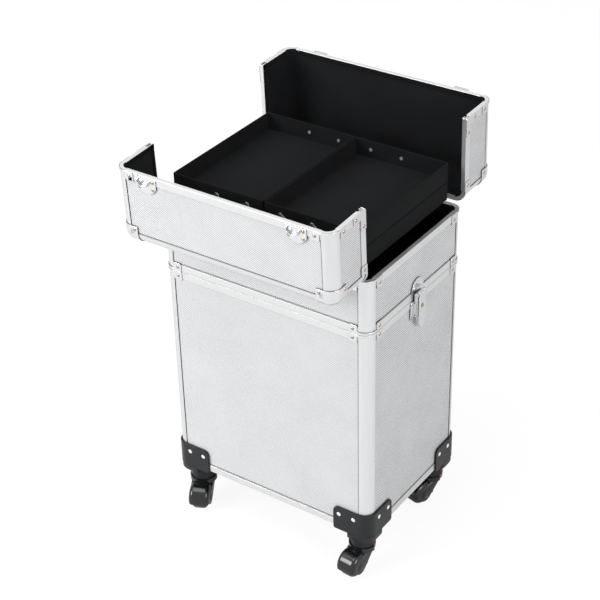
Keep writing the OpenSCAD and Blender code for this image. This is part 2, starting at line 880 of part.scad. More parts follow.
// Lever: a barrel on the pin and a plate that reaches past the split to a turned-down hook
module lid_lever(s) {
    w = 15;
    n = hook_n - lid_face;
    p = [0, lid_pivot_in, lid_pivot_out];
    translate([s * lid_latch_x, back_len, lid_h + lid_face]) mirror([0, 1, 0]) translate(p)
        rotate([-lid_lever_angle, 0, 0]) translate(-p) difference() {
        union() {
            translate([-w / 2, lid_pivot_in, lid_pivot_out]) rotate([0, 90, 0])
                cylinder(r = lid_barrel_r, h = w);
            translate([0, 0, n]) linear_extrude(1.6) union() {
                translate([-w / 2, 2]) square([w, lid_pivot_in - 2]);
                translate([-w / 2 + 2, -hook_reach]) square([w - 4, hook_reach + 4]);
            }
            translate([-w / 2 + 2, -hook_reach, n - 3.6]) cube([w - 4, 1.6, 4.6]);
        }
        translate([-w, lid_pivot_in, lid_pivot_out]) rotate([0, 90, 0])
            cylinder(r = latch_pin_r + run_fit, h = 2 * w);
    }
}

module lid_lever_left() {
    color([0.78, 0.79, 0.8]) in_back_lid() lid_lever(-1);
}

module lid_lever_right() {
    color([0.78, 0.79, 0.8]) in_back_lid() lid_lever(1);
}

// Trays

// Pin holes through the front and back walls of a tray at [x, z], with radius r
module tray_holes(p, r) {
    translate([p[0], 0, p[1]]) rotate([90, 0, 0])
        cylinder(r = r, h = 2 * tray_d, center = true);
}

// Open tray on the right side, inner wall next to the middle of the case
module tray(z) {
    translate([tray_mid / 2 + tray_w / 2, 0, z]) difference() {
        linear_extrude(tray_h) rounded_rect(tray_w, tray_d, tray_r);
        translate([0, 0, tray_t]) linear_extrude(tray_h)
            rounded_rect(tray_w - 2 * tray_t, tray_d - 2 * tray_t, tray_r - tray_t);
    }
}

module lower_tray(left) {
    color([0.05, 0.05, 0.055]) flip_if(left, [1, 0, 0]) difference() {
        tray(z_low_tray);
        tray_holes([arm_in, z_low_pivot], arm_pin_r + run_fit);
        tray_holes([arm_in + arm_pitch, z_low_pivot], arm_pin_r + open_fit);
        tray_holes([arm_in + arm_run, z_up_foot], arm_pin_r + run_fit);
        tray_holes([arm_in + arm_run + arm_pitch, z_up_foot], arm_pin_r + run_fit);
    }
}

module upper_tray(left) {
    color([0.05, 0.05, 0.055]) flip_if(left, [1, 0, 0]) difference() {
        tray(z_up_tray);
        tray_holes([arm_in, z_up_pivot], arm_pin_r + run_fit);
        tray_holes([arm_in + arm_pitch, z_up_pivot], arm_pin_r + open_fit);
    }
}

module lower_left_tray() {
    lower_tray(true);
}

module lower_right_tray() {
    lower_tray(false);
}

module upper_left_tray() {
    upper_tray(true);
}

module upper_right_tray() {
    upper_tray(false);
}

// Pin from an arm through a tray's wall, with a head on each side, axis along y at the origin
module tray_pin() {
    translate([0, arm_t - e, 0]) rotate([-90, 0, 0])
        cylinder(r = arm_pin_r, h = 0.4 + tray_t + 0.2 + arm_head + e);
    translate([0, arm_t + 0.4 + tray_t + 0.2, 0]) rotate([-90, 0, 0])
        cylinder(r = arm_pin_r + 1, h = arm_head);
    translate([0, 0.3, 0]) rotate([90, 0, 0]) cylinder(r = arm_pin_r + 1.2, h = 0.6);
    translate([0, -0.3, 0]) rivet(arm_pin_r + 1.2, arm_head - 0.3);
}

// Pin from an arm out to the box's wall, with a collar that keeps the arm off the wall
module wall_pin() {
    room = arm_room - 0.4 - arm_t;
    rotate([90, 0, 0]) {
        translate([0, 0, -e]) cylinder(r = arm_pin_r + 1.5, h = room - 0.3 + e);
        cylinder(r = arm_pin_r, h = room + panel_t - 0.9);
    }
}

// Strip with round ends from foot to tip, and its pins; the front and the back strip are alike
module arm(foot, tip, at_wall) {
    d = tip - foot;
    color([0.7, 0.71, 0.72]) for (b = [false, true])
        flip_if(b, [0, 1, 0]) translate([foot[0], -arm_y - arm_t, foot[1]]) union() {
            rotate([0, -atan2(d[1], d[0]), 0]) translate([0, 0, -arm_w / 2 + 0.6])
                cube([norm(d), arm_t, arm_w - 1.2]);
            for (p = [[0, 0], d])
                translate([p[0], 0, p[1]]) rotate([-90, 0, 0])
                    cylinder(r = arm_w / 2, h = arm_t);
            if (at_wall) wall_pin();
            else tray_pin();
            translate([d[0], 0, d[1]]) tray_pin();
        }
}

// Arm number a of a tray, inner 0 or outer 1
module lower_arm(left, a) {
    x = arm_in + a * arm_pitch;
    flip_if(left, [1, 0, 0])
        arm([x + arm_run, z_low_foot], [x, z_low_pivot], true);
}

module upper_arm(left, a) {
    x = arm_in + a * arm_pitch;
    flip_if(left, [1, 0, 0])
        arm([x + arm_run, z_up_foot], [x, z_up_pivot], false);
}

module lower_left_arm_in() {
    lower_arm(true, 0);
}

module lower_left_arm_out() {
    lower_arm(true, 1);
}

module lower_right_arm_in() {
    lower_arm(false, 0);
}

module lower_right_arm_out() {
    lower_arm(false, 1);
}

module upper_left_arm_in() {
    upper_arm(true, 0);
}

module upper_left_arm_out() {
    upper_arm(true, 1);
}

module upper_right_arm_in() {
    upper_arm(false, 0);
}

module upper_right_arm_out() {
    upper_arm(false, 1);
}

// Casters

// Caster number n: 0 front left, 1 front right, 2 back left, 3 back right
module at_caster(n) {
    translate([(n % 2 == 0 ? -1 : 1) * (hw - stem_in), (n < 2 ? -1 : 1) * (hd - stem_in), 0])
        rotate([0, 0, caster_turn[n]]) children();
}

// Half outline of a wheel of radius r and width w, with its edges rounded by t
module wheel_section(r, w, t) {
    translate([0, t - w / 2]) square([r, w - 2 * t]);
    translate([0, -w / 2]) square([r - t, w]);
    for (m = [-1, 1]) translate([r - t, m * (w / 2 - t)]) circle(t);
}

module at_axle() {
    translate([0, -trail, wheel_r]) rotate([0, 90, 0]) children();
}

// Lip of the fork's plate that stands up round the ring on the wheel's side
module fork_lip() {
    r = neck_r + lip_gap;
    z = z_fork - fork_t;
    difference() {
        translate([0, 0, z]) cylinder(r = r + lip_t, h = z_neck + lip_over - z);
        translate([0, 0, z_fork]) cylinder(r = r, h = neck_drop);
        translate([-2 * r, 0, z - 1]) cube([4 * r, 2 * r, neck_drop]);
    }
}

// Hood: a rounded shell over the upper half of the wheel
module fork_hood(w) {
    r = wheel_r + wheel_gap + hood_t;
    difference() {
        at_axle() rotate_extrude() wheel_section(r, w, wheel_round);
        translate([-w, -trail - 2 * r, -r]) cube([2 * w, 4 * r, r + wheel_r - axle_r]);
    }
}

// Fork: a swivel plate with its stem and lip, two cheeks, a hood over the wheel, and the axle
module caster(n) {
    w = wheel_w + 2 * cheek_gap;
    color([0.04, 0.04, 0.045]) at_caster(n) union() {
        difference() {
            union() {
                translate([0, 0, z_fork - fork_t]) cylinder(r = fork_r, h = fork_t);
                fork_lip();
                fork_hood(w + 2 * cheek_t);
                hull() {
                    translate([0, 0, z_fork - fork_t]) cylinder(r = fork_r - 1, h = 2, $fn = 48);
                    at_axle() cylinder(r = cheek_r, h = w + 2 * cheek_t, center = true, $fn = 48);
                }
            }
            at_axle() rotate_extrude() wheel_section(wheel_r + wheel_gap, w, wheel_round - hood_t);
        }
        at_axle() cylinder(r = axle_r, h = w + 2 * cheek_t - 1, center = true);
        translate([0, 0, z_fork - e]) cylinder(r = stem_r, h = stem_len);
    }
}

// Wheel: a rounded tread with dished sides
module wheel(n) {
    h = wheel_w / 2;
    dish = 4.3;
    color([0.04, 0.04, 0.045]) at_caster(n) at_axle() rotate_extrude() difference() {
        wheel_section(wheel_r, wheel_w, wheel_round);
        translate([-1, -h - 1]) square([1 + axle_r + run_fit, wheel_w + 2]);
        for (m = [-1, 1])
            translate([(wheel_r - wheel_round + axle_r) / 2 + 0.5, m * (h + dish - 1.2)]) circle(dish);
    }
}

module caster_fl() {
    caster(0);
}

module caster_fr() {
    caster(1);
}

module caster_bl() {
    caster(2);
}

module caster_br() {
    caster(3);
}

module wheel_fl() {
    wheel(0);
}

module wheel_fr() {
    wheel(1);
}

module wheel_bl() {
    wheel(2);
}

module wheel_br() {
    wheel(3);
}

// Trolley handle on the left face: two fixed sleeves, two middle tubes, two rods with the grip

module at_tubes() {
    for (s = [-1, 1]) translate([tube_x, s * tube_pitch / 2, 0]) children();
}

module tube(r, t, z0, z1) {
    translate([0, 0, z0]) difference() {
        cylinder(r = r, h = z1 - z0);
        translate([0, 0, -1]) cylinder(r = r - t, h = z1 - z0 + 2);
    }
}

module handle_sleeves() {
    color([0.7, 0.71, 0.72]) at_tubes() tube(sleeve_r, tube_t, z_sleeve, z_sleeve_top);
}

// Moulded blocks that hold both sleeves on the panel
module handle_brackets() {
    depth = tube_out + sleeve_r + 4 + panel_inset;
    x = -hw + panel_inset - depth / 2;
    color([0.05, 0.05, 0.055])
        for (z = [z_sleeve + 4, z_seam - bracket_drop - bracket_h])
            translate([0, 0, z]) difference() {
                translate([x, 0, 0]) linear_extrude(bracket_h) difference() {
                    rounded_rect(depth, 2 * bracket_y, 7);
                    translate([-depth / 2 - 4, 0]) rounded_rect(16, tube_pitch - 2 * sleeve_r - 12, 5);
                }
                at_tubes() translate([0, 0, -1]) cylinder(r = sleeve_r + 0.1, h = bracket_h + 2);
            }
}

module handle_mid() {
    color([0.75, 0.76, 0.77]) at_tubes() {
        tube(mid_r, tube_t, z_sleeve + 4, z_sleeve_top + 3);
        tube(mid_r + tube_t, tube_t + 0.2, z_sleeve_top + 1, z_sleeve_top + 4);
    }
}

module handle_rods() {
    color([0.75, 0.76, 0.77]) at_tubes() translate([0, 0, z_sleeve + 8])
        cylinder(r = rod_r, h = z_grip - z_sleeve - 8 + 6);
}

// Rounded grip with its push button
module handle_grip() {
    y = tube_pitch + 2 * sleeve_r + 6;
    color([0.05, 0.05, 0.055]) {
        translate([tube_x, 0, z_grip]) difference() {
            union() {
                translate([0, 0, 4]) linear_extrude(grip_h - 8) rounded_rect(grip_d, y, 9);
                linear_extrude(grip_h) rounded_rect(grip_d - 5, y - 5, 7);
            }
            at_grip_tubes() translate([0, 0, -1]) cylinder(r = rod_r + 0.05, h = 7.1);
            translate([0, 0, grip_h - 2]) linear_extrude(4) rounded_rect(9, 30, 4);
        }
        translate([tube_x, 0, z_grip + grip_h - 2]) linear_extrude(3) rounded_rect(8.4, 29.4, 3.8);
    }
}

module at_grip_tubes() {
    for (s = [-1, 1]) translate([0, s * tube_pitch / 2, 0]) children();
}

trunk_panels();
trunk_floor();
trunk_posts();
trunk_bands();
trunk_clips();
trunk_rivets();
corner_guards();
swivel_rings();
key_latch_bases();
handle_sleeves();
handle_brackets();
box_panels();
box_floor();
box_posts();
box_bands();
box_clips();
box_rivets();
key_strikes();
box_hinges();
front_lid_panels();
front_lid_rails();
front_lid_bands();
front_lid_clips();
front_lid_rivets();
front_lid_hinge();
lid_strikes();
back_lid_panels();
back_lid_rails();
back_lid_bands();
back_lid_clips();
back_lid_rivets();
back_lid_hinge();
lid_latch_bases();
lid_lever_left();
lid_lever_right();
key_lever_left();
key_lever_right();
lower_left_tray();
lower_right_tray();
upper_left_tray();
upper_right_tray();
lower_left_arm_in();
lower_left_arm_out();
lower_right_arm_in();
lower_right_arm_out();
upper_left_arm_in();
upper_left_arm_out();
upper_right_arm_in();
upper_right_arm_out();
caster_fl();
caster_fr();
caster_bl();
caster_br();
wheel_fl();
wheel_fr();
wheel_bl();
wheel_br();
handle_mid();
handle_rods();
handle_grip();
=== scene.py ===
import json
import math

import bmesh
import bpy
import numpy as np
from bpy.props import FloatProperty, FloatVectorProperty, PointerProperty
from bpy.types import Operator, Panel, PropertyGroup
from mathutils import Matrix, Vector

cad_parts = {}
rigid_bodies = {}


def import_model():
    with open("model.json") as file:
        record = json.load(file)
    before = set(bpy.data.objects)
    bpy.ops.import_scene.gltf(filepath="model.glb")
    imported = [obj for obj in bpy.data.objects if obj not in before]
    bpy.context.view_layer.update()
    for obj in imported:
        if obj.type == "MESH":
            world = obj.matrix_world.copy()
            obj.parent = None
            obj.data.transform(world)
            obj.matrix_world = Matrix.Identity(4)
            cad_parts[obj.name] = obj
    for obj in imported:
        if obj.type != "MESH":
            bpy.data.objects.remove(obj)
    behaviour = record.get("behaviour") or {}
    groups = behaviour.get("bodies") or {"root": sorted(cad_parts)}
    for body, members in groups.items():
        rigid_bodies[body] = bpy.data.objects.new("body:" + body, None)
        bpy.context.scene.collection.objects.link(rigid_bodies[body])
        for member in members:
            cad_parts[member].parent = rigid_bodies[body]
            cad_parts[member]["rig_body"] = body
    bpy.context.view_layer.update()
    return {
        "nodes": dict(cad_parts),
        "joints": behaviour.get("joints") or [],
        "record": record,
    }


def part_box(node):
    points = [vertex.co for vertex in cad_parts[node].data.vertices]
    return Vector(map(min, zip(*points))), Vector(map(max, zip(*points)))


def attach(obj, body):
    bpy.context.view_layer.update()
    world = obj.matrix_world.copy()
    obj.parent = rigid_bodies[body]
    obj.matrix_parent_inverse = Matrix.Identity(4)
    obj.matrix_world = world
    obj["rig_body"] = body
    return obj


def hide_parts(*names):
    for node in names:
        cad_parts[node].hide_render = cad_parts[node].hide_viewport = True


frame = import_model()

bl_info = {
    "name": "Rolling makeup case",
    "version": (1, 0, 0),
    "blender": (4, 5, 0),
    "location": "View3D > Sidebar > Makeup case",
    "description": "Finishes, linings, trays and small fittings of a makeup trolley case",
    "category": "Object",
}

MM = 0.001
JOINTS = {joint["name"]: joint for joint in frame["joints"]}

# Places read from the frame: half width, half depth and the heights of the shells' edges
POST_LOW, POST_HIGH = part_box("trunk_posts")
BOX_LOW, BOX_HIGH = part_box("box_posts")
HALF_W = POST_HIGH.x
HALF_D = POST_HIGH.y
Z_TRUNK = POST_LOW.z
Z_SEAM = POST_HIGH.z
Z_BOX = BOX_LOW.z
Z_RIM = BOX_HIGH.z
LID_AXIS_Y = -JOINTS["front_lid_hinge_joint"]["pos_m"][1]
LID_AXIS_Z = JOINTS["front_lid_hinge_joint"]["pos_m"][2]
FRONT_SWING = -JOINTS["front_lid_hinge_joint"]["range_deg"][0]
BACK_SWING = -JOINTS["back_lid_hinge_joint"]["range_deg"][0]

# Sizes of the shells that the frame doesn't name
POST_R = 16.5 * MM
WALL = 4.8 * MM
PANEL_INSET = 0.8 * MM
BAND_T = 1.2 * MM
BAND_W = 11 * MM
LIP_H = 6.0 * MM
GROOVE_W = 1.2 * MM
LID_H = 74.5 * MM
# Lids: body, length from the outer wall to the split, and whether it is the back one
LIDS = (("front_lid", 112.0 * MM, False), ("back_lid", 129.0 * MM, True))

# Felt: air under it, distance of its edge from the shell's edge, and its height above the foot of the posts
FELT_GAP = 0.05 * MM
FELT_EDGE = 0.6 * MM
FELT_FOOT = 11.2 * MM
# Hems: distance of their edge from the band's edge, and of their fold from the lip's end
HEM_EDGE = 0.5 * MM
HEM_FOLD = 0.1 * MM
# Trays: radii of the outer edge at the foot and of the hollow round the floor
TRAY_FOOT = 0.8 * MM
TRAY_COVE = 0.7 * MM
# Lid grooves stop this far from a corner, to leave room for its clip
CLIP_LEG = 14 * MM

# Grooves: depth of the middle of the dark ribbon of painted shadow and of the bridges, thickness of both, and
# their part of the groove's width
SHADOW_RIBBON_DEPTH = 0.45 * MM
BRIDGE_DEPTH = 0.2 * MM
RIBBON_T = 0.3 * MM
GROOVE_FILL = 0.98
# Share of a dotted groove that the bridges cover, on the trunk and lids and on the box
DOTTED = 0.45
FAINT = 0.75

# Lattice: reach and strength of the painted shade in the furrows on the other panels and on the end panels
FURROW_SHADE_REACH = (0.6, 1.0)
FURROW_SHADE_STRENGTH = (0.8, 1.0)
# Painted light on the end panels' crests and painted shade in the furrows, as factors of the panel's colour
END_CREST_LIGHT = 1.26
FURROW_SHADE_TONE = 0.1

# Rivets below this height hold the corner guards and are silver
FOOT_Z = 130 * MM
# The arms' pin heads inside the trays lie nearer to the middle than this
PIN_HEAD_Y = 110.3 * MM
# Dull black of the arms' enamel, and the painted shadow at the grooves' bottom
ENAMEL_AND_GROOVE_SHADOW_BLACK = (0.012, 0.012, 0.013)

# Drop of the lock barrels below the seam, and their profile as radius and height in millimetres
BARREL_DROP = 11 * MM
BARREL_DOME = ((0, 0.45), (1.2, 0.42), (2.2, 0.30), (2.7, 0.10), (2.8, -0.3), (0, -0.3))
# Key slot, a dark bar of painted shade where the keyhole is: height above the lever's face, and its length,
# width and thickness
SLOT_UP = 0.42 * MM
SLOT_SIZE = (3.0 * MM, 0.7 * MM, 0.2 * MM)
# Distance of the axle caps from the wheel's middle, and their profile as radius and height in millimetres
CAP_OUT = 15.8 * MM
CAP_PROFILE = ((0, 1.5), (2.4, 1.45), (4.6, 1.1), (5.6, 0.5), (5.8, 0.4), (6.4, 0.9), (7.0, 0.8), (7.4, -0.2),
               (0, -0.2))

# Steps of a corner's quarter turn and of a small fold, and the angle in degrees above which an edge is sharp
CORNER_STEPS = 8
FOLD_STEPS = 4
SHARP_ANGLE = 35

# Stage: half the floor's side in metres, its tone, its own light, and the share of that light that the camera
# and mirrors see; lamps and shadow make up the rest
FLOOR_HALF = 14.0
FLOOR_TONE = 0.88
FLOOR_GLOW = 1.06
CAMERA_SHARE = 0.86
MIRROR_SHARE = 0.3
# Strength of the world as light on the case; seen directly or in a mirror it is 1
WORLD_LIGHT = 0.32
# Lamps: name, place, width of the disc and watts; they point at AIM
LAMPS = (
    ("key_light", (-1.7, -2.4, 1.9), 1.5, 76),
    ("top_light", (-0.5, -0.6, 3.2), 2.0, 40),
    ("side_light", (2.8, -0.6, 1.6), 1.6, 46),
)
AIM = Vector((0, 0, 0.35))
# Sensor width in millimetres, and how far the camera sees in metres
SENSOR_W = 36
SIGHT = 50


class CaseSettings(PropertyGroup):
    """Sizes and colours of the case that a user would change."""

    lattice_pitch: FloatProperty(
        name="Lattice pitch", description="Width of one pressed diamond on the panels",
        default=2.98 * MM, min=1 * MM, max=10 * MM, unit="LENGTH")
    lining_t: FloatProperty(
        name="Lining thickness", description="Thickness of the felt on the inner walls",
        default=0.35 * MM, min=0.1 * MM, max=2 * MM, unit="LENGTH")
    tray_wall: FloatProperty(
        name="Tray wall", description="Thickness of a tray's wall and floor",
        default=2 * MM, min=1 * MM, max=4 * MM, unit="LENGTH")
    tray_corner: FloatProperty(
        name="Tray corner", description="Corner radius of a tray",
        default=3 * MM, min=2 * MM, max=8 * MM, unit="LENGTH")
    panel_color: FloatVectorProperty(
        name="Panel", description="Pressed aluminium panels", subtype="COLOR", size=3,
        default=(0.765, 0.772, 0.785), min=0, max=1)
    frame_color: FloatVectorProperty(
        name="Frame", description="Posts, rails and edge bands", subtype="COLOR", size=3,
        default=(0.70, 0.705, 0.71), min=0, max=1)
    chrome_color: FloatVectorProperty(
        name="Chrome", description="Clips, corners and latches", subtype="COLOR", size=3,
        default=(0.70, 0.71, 0.72), min=0, max=1)
    rivet_color: FloatVectorProperty(
        name="Rivet", description="Rivets and the lock's barrel", subtype="COLOR", size=3,
        default=(0.42, 0.325, 0.205), min=0, max=1)
    felt_color: FloatVectorProperty(
        name="Felt", description="Lining and trays", subtype="COLOR", size=3,
        default=(0.0037, 0.004, 0.0046), min=0, max=1)
    moulding_color: FloatVectorProperty(
        name="Moulding", description="Guards, casters, brackets and grip", subtype="COLOR", size=3,
        default=(0.0085, 0.0093, 0.0110), min=0, max=1)
    ring_color: FloatVectorProperty(
        name="Ring", description="Swivel rings", subtype="COLOR", size=3,
        default=(0.55, 0.02, 0.025), min=0, max=1)
    camera_place: FloatVectorProperty(
        name="Camera place", description="Place of the camera", subtype="TRANSLATION", size=3,
        default=(1.07879, -1.56596, 1.56443), unit="LENGTH")
    camera_turn: FloatVectorProperty(
        name="Camera turn", description="Pan, tilt and roll of the camera", size=3,
        default=(math.radians(35.1512), math.radians(-32.4211), math.radians(-1.4672)), unit="ROTATION")
    camera_lens: FloatProperty(
        name="Lens", description="Focal length in millimetres on a 36 mm sensor",
        default=94.396, min=20, max=300)


# Shader nodes


def plug(tree, socket, value):
    """Links an input to another socket, or sets its value."""
    if isinstance(value, bpy.types.NodeSocket):
        tree.links.new(value, socket)
    else:
        socket.default_value = value


def put(tree, kind, inputs=None, **settings):
    """Adds a node; inputs are values or sockets by input name or number."""
    node = tree.nodes.new(kind)
    for key, value in settings.items():
        setattr(node, key, value)
    for key, value in (inputs or {}).items():
        plug(tree, node.inputs[key], value)
    return node


def calc(tree, operation, *terms):
    """Math node on one to three values or sockets; gives its output."""
    return put(tree, "ShaderNodeMath", dict(enumerate(terms)), operation=operation).outputs[0]


def with_alpha(value):
    """Adds the alpha to a colour of three numbers; sockets and numbers stay."""
    return (*value, 1.0) if isinstance(value, tuple) else value


def blend_color(tree, share, first, second):
    """Mixes two colours by a share; gives the colour socket."""
    inputs = {0: share, 6: with_alpha(first), 7: with_alpha(second)}
    return put(tree, "ShaderNodeMix", inputs, data_type="RGBA").outputs[2]


def remap(tree, value, low, high, to_low, to_high):
    """Maps a value from one range to another, clamped."""
    return put(tree, "ShaderNodeMapRange", {0: value, 1: low, 2: high, 3: to_low, 4: to_high}).outputs[0]


def new_group(name, inputs, outputs):
    """Empty shader node group with named sockets; gives the tree, its inputs and its output node."""
    tree = bpy.data.node_groups.new(name, "ShaderNodeTree")
    for label, kind, value in inputs:
        socket = tree.interface.new_socket(name=label, in_out="INPUT", socket_type=kind)
        if value is not None:
            socket.default_value = value
    for label, kind in outputs:
        tree.interface.new_socket(name=label, in_out="OUTPUT", socket_type=kind)
    source = tree.nodes.new("NodeGroupInput")
    sink = tree.nodes.new("NodeGroupOutput")
    return tree, source.outputs, sink


def use_group(tree, group, **inputs):
    """Places a node group in a material; underscores in the names stand for spaces."""
    node = put(tree, "ShaderNodeGroup", node_tree=group)
    for key, value in inputs.items():
        plug(tree, node.inputs[key.replace("_", " ")], value)
    return node.outputs


def lattice_group():
    """Pressed diamonds: on each face, the two coordinates along it give u and v, and the height is the
    smaller of the half waves |sin(pi (u + v) / pitch)| and |sin(pi (u - v) / pitch)|. The furrow output is
    painted shade in the furrows, painted wider and darker on the end panels, and End marks them."""
    tree, given, sink = new_group(
        "Pressed lattice",
        [("Vector", "NodeSocketVector", None), ("Face", "NodeSocketVector", None),
         ("Pitch", "NodeSocketFloat", 0.003)],
        [("Height", "NodeSocketFloat"), ("Furrow Shade", "NodeSocketFloat"), ("End", "NodeSocketFloat")])
    place = put(tree, "ShaderNodeSeparateXYZ", {0: given["Vector"]}).outputs
    facing = put(tree, "ShaderNodeSeparateXYZ", {0: given["Face"]}).outputs
    on_end = calc(tree, "GREATER_THAN", calc(tree, "ABSOLUTE", facing[0]), 0.7)
    on_top = calc(tree, "GREATER_THAN", calc(tree, "ABSOLUTE", facing[2]), 0.7)
    u = put(tree, "ShaderNodeMix", {0: on_end, 2: place[0], 3: place[1]}).outputs[0]
    v = put(tree, "ShaderNodeMix", {0: on_top, 2: place[2], 3: place[1]}).outputs[0]
    waves = []
    for operation in ("ADD", "SUBTRACT"):
        phase = calc(tree, "DIVIDE", calc(tree, operation, u, v), given["Pitch"])
        waves.append(calc(tree, "ABSOLUTE", calc(tree, "SINE", calc(tree, "MULTIPLY", phase, math.pi))))
    height = calc(tree, "SMOOTH_MIN", waves[0], waves[1], 0.25)
    tree.links.new(height, sink.inputs["Height"])
    # Painted shade in the furrows: 1 at their bottom, falling to 0 at the reach, wider and darker on the end
    # panels
    slope = calc(tree, "DIVIDE", height, remap(tree, on_end, 0, 1, *FURROW_SHADE_REACH))
    furrow_shade = calc(tree, "MAXIMUM", calc(tree, "SUBTRACT", 1.0, slope), 0.0)
    depth = remap(tree, on_end, 0, 1, *FURROW_SHADE_STRENGTH)
    tree.links.new(calc(tree, "MULTIPLY", furrow_shade, depth), sink.inputs["Furrow Shade"])
    tree.links.new(on_end, sink.inputs["End"])
    return tree


def handling_group():
    """Handling marks: broad soft noise for smudges and fine noise for scuffs."""
    tree, given, sink = new_group(
        "Handling marks",
        [("Vector", "NodeSocketVector", None), ("Smudge Scale", "NodeSocketFloat", 14.0),
         ("Scuff Scale", "NodeSocketFloat", 420.0)],
        [("Smudge", "NodeSocketFloat"), ("Scuff", "NodeSocketFloat")])
    broad = put(tree, "ShaderNodeTexNoise", {"Vector": given["Vector"], "Scale": given["Smudge Scale"],
                                             "Detail": 4.0, "Roughness": 0.6}).outputs[0]
    fine = put(tree, "ShaderNodeTexNoise", {"Vector": given["Vector"], "Scale": given["Scuff Scale"],
                                            "Detail": 2.0, "Roughness": 0.7}).outputs[0]
    tree.links.new(remap(tree, broad, 0.35, 0.7, 0.0, 1.0), sink.inputs["Smudge"])
    tree.links.new(remap(tree, fine, 0.55, 0.75, 0.0, 1.0), sink.inputs["Scuff"])
    return tree


def brushed_group():
    """Drawn metal: noise stretched along one direction, as height and as a shade."""
    tree, given, sink = new_group(
        "Drawn lines",
        [("Vector", "NodeSocketVector", None), ("Stretch", "NodeSocketVector", (900.0, 900.0, 12.0))],
        [("Height", "NodeSocketFloat"), ("Shade", "NodeSocketFloat")])
    long_place = put(tree, "ShaderNodeVectorMath", {0: given["Vector"], 1: given["Stretch"]},
                     operation="MULTIPLY").outputs[0]
    lines = put(tree, "ShaderNodeTexNoise", {"Vector": long_place, "Scale": 1.0, "Detail": 3.0}).outputs[0]
    tree.links.new(lines, sink.inputs["Height"])
    tree.links.new(remap(tree, lines, 0.3, 0.7, 0.0, 1.0), sink.inputs["Shade"])
    return tree


def felt_group():
    """Felt: crossing fibre noise at two scales as height, and a soft cloudy nap."""
    tree, given, sink = new_group(
        "Felt nap",
        [("Vector", "NodeSocketVector", None), ("Fibre Scale", "NodeSocketFloat", 1500.0)],
        [("Height", "NodeSocketFloat"), ("Nap", "NodeSocketFloat")])
    fibre = put(tree, "ShaderNodeTexNoise", {"Vector": given["Vector"], "Scale": given["Fibre Scale"],
                                             "Detail": 5.0, "Roughness": 0.75, "Distortion": 1.6}).outputs[0]
    cloud = put(tree, "ShaderNodeTexNoise", {"Vector": given["Vector"], "Scale": 22.0,
                                             "Detail": 3.0}).outputs[0]
    tree.links.new(fibre, sink.inputs["Height"])
    nap = calc(tree, "ADD", cloud, calc(tree, "MULTIPLY", fibre, 0.5))
    tree.links.new(remap(tree, nap, 0.5, 1.0, 0.0, 1.0), sink.inputs["Nap"])
    return tree


def moulded_group():
    """Moulded plastic: fine spark-eroded grain as height, and worn spots as a shade."""
    tree, given, sink = new_group(
        "Moulded grain",
        [("Vector", "NodeSocketVector", None), ("Grain Scale", "NodeSocketFloat", 900.0)],
        [("Height", "NodeSocketFloat"), ("Wear", "NodeSocketFloat")])
    grain = put(tree, "ShaderNodeTexVoronoi", {"Vector": given["Vector"], "Scale": given["Grain Scale"]},
                feature="SMOOTH_F1").outputs[0]
    worn = put(tree, "ShaderNodeTexNoise", {"Vector": given["Vector"], "Scale": 38.0,
                                            "Detail": 5.0}).outputs[0]
    tree.links.new(grain, sink.inputs["Height"])
    tree.links.new(remap(tree, worn, 0.5, 0.75, 0.0, 1.0), sink.inputs["Wear"])
    return tree


def start_material(name):
    """New material; gives its tree, its Principled shader and its texture coordinates."""
    paint = bpy.data.materials.new(name)
    paint.use_nodes = True
    tree = paint.node_tree
    return tree, tree.nodes["Principled BSDF"], tree.nodes.new("ShaderNodeTexCoord").outputs


def bump(tree, shader, height, strength, distance):
    """Feeds a height to the shader's normal."""
    node = put(tree, "ShaderNodeBump", {"Strength": strength, "Distance": distance, "Height": height})
    tree.links.new(node.outputs[0], shader.inputs["Normal"])


def feed(tree, shader, **inputs):
    """Sets or links the shader's inputs; underscores stand for spaces."""
    for key, value in inputs.items():
        plug(tree, shader.inputs[key.replace("_", " ")], with_alpha(value))


def shade(color, factor):
    """A colour times a factor."""
    return tuple(c * factor for c in color)


def crevice_shade(tree, tone, reach, most, deep=0.4, unshaded=0.92):
    """Painted shade along edges with a neighbour within reach: ambient occlusion darkens the tone towards
    near black by most where openness is deep or less, and not at all where it is unshaded or more."""
    openness = put(tree, "ShaderNodeAmbientOcclusion", {"Distance": reach}, samples=6).outputs["AO"]
    # Painted shade: the tone goes towards near black where neighbouring surfaces crowd in
    return blend_color(tree, remap(tree, openness, deep, unshaded, most, 0.0), tone, (0.02, 0.02, 0.022))


def worn_rough(tree, marks, rough, scuffed):
    """Roughness between two values by the smudges, with scuffs on top."""
    smudged = remap(tree, marks["Smudge"], 0, 1, *rough)
    return calc(tree, "ADD", smudged, calc(tree, "MULTIPLY", marks["Scuff"], scuffed))


def panel_material(settings, groups):
    """Pressed aluminium sheet with a diamond lattice, painted shade in its furrows and crevices, painted
    light on the end panels' crests, and faint handling marks.
    """
    tree, shader, coords = start_material("pressed_panel")
    color = tuple(settings.panel_color)
    press = use_group(tree, groups["lattice"], Vector=coords["Object"], Face=coords["Normal"],
                      Pitch=settings.lattice_pitch)
    marks = use_group(tree, groups["handling"], Vector=coords["Object"])
    # Painted light: the end panels' crests are lighter; painted shade: the furrows go dark
    crest = blend_color(tree, press["End"], color, shade(color, END_CREST_LIGHT))
    tone = blend_color(tree, press["Furrow Shade"], crest, shade(color, FURROW_SHADE_TONE))
    tone = blend_color(tree, calc(tree, "MULTIPLY", marks["Smudge"], 0.25), tone, shade(color, 0.93))
    # Painted shade where clips, bands and rivets stand on the panel
    tone = crevice_shade(tree, tone, reach=2.6 * MM, most=0.92)
    rough = worn_rough(tree, marks, rough=(0.5, 0.58), scuffed=0.03)
    feed(tree, shader, Base_Color=tone, Metallic=0.15, Roughness=rough)
    bump(tree, shader, press["Height"], strength=0.15, distance=0.4 * MM)


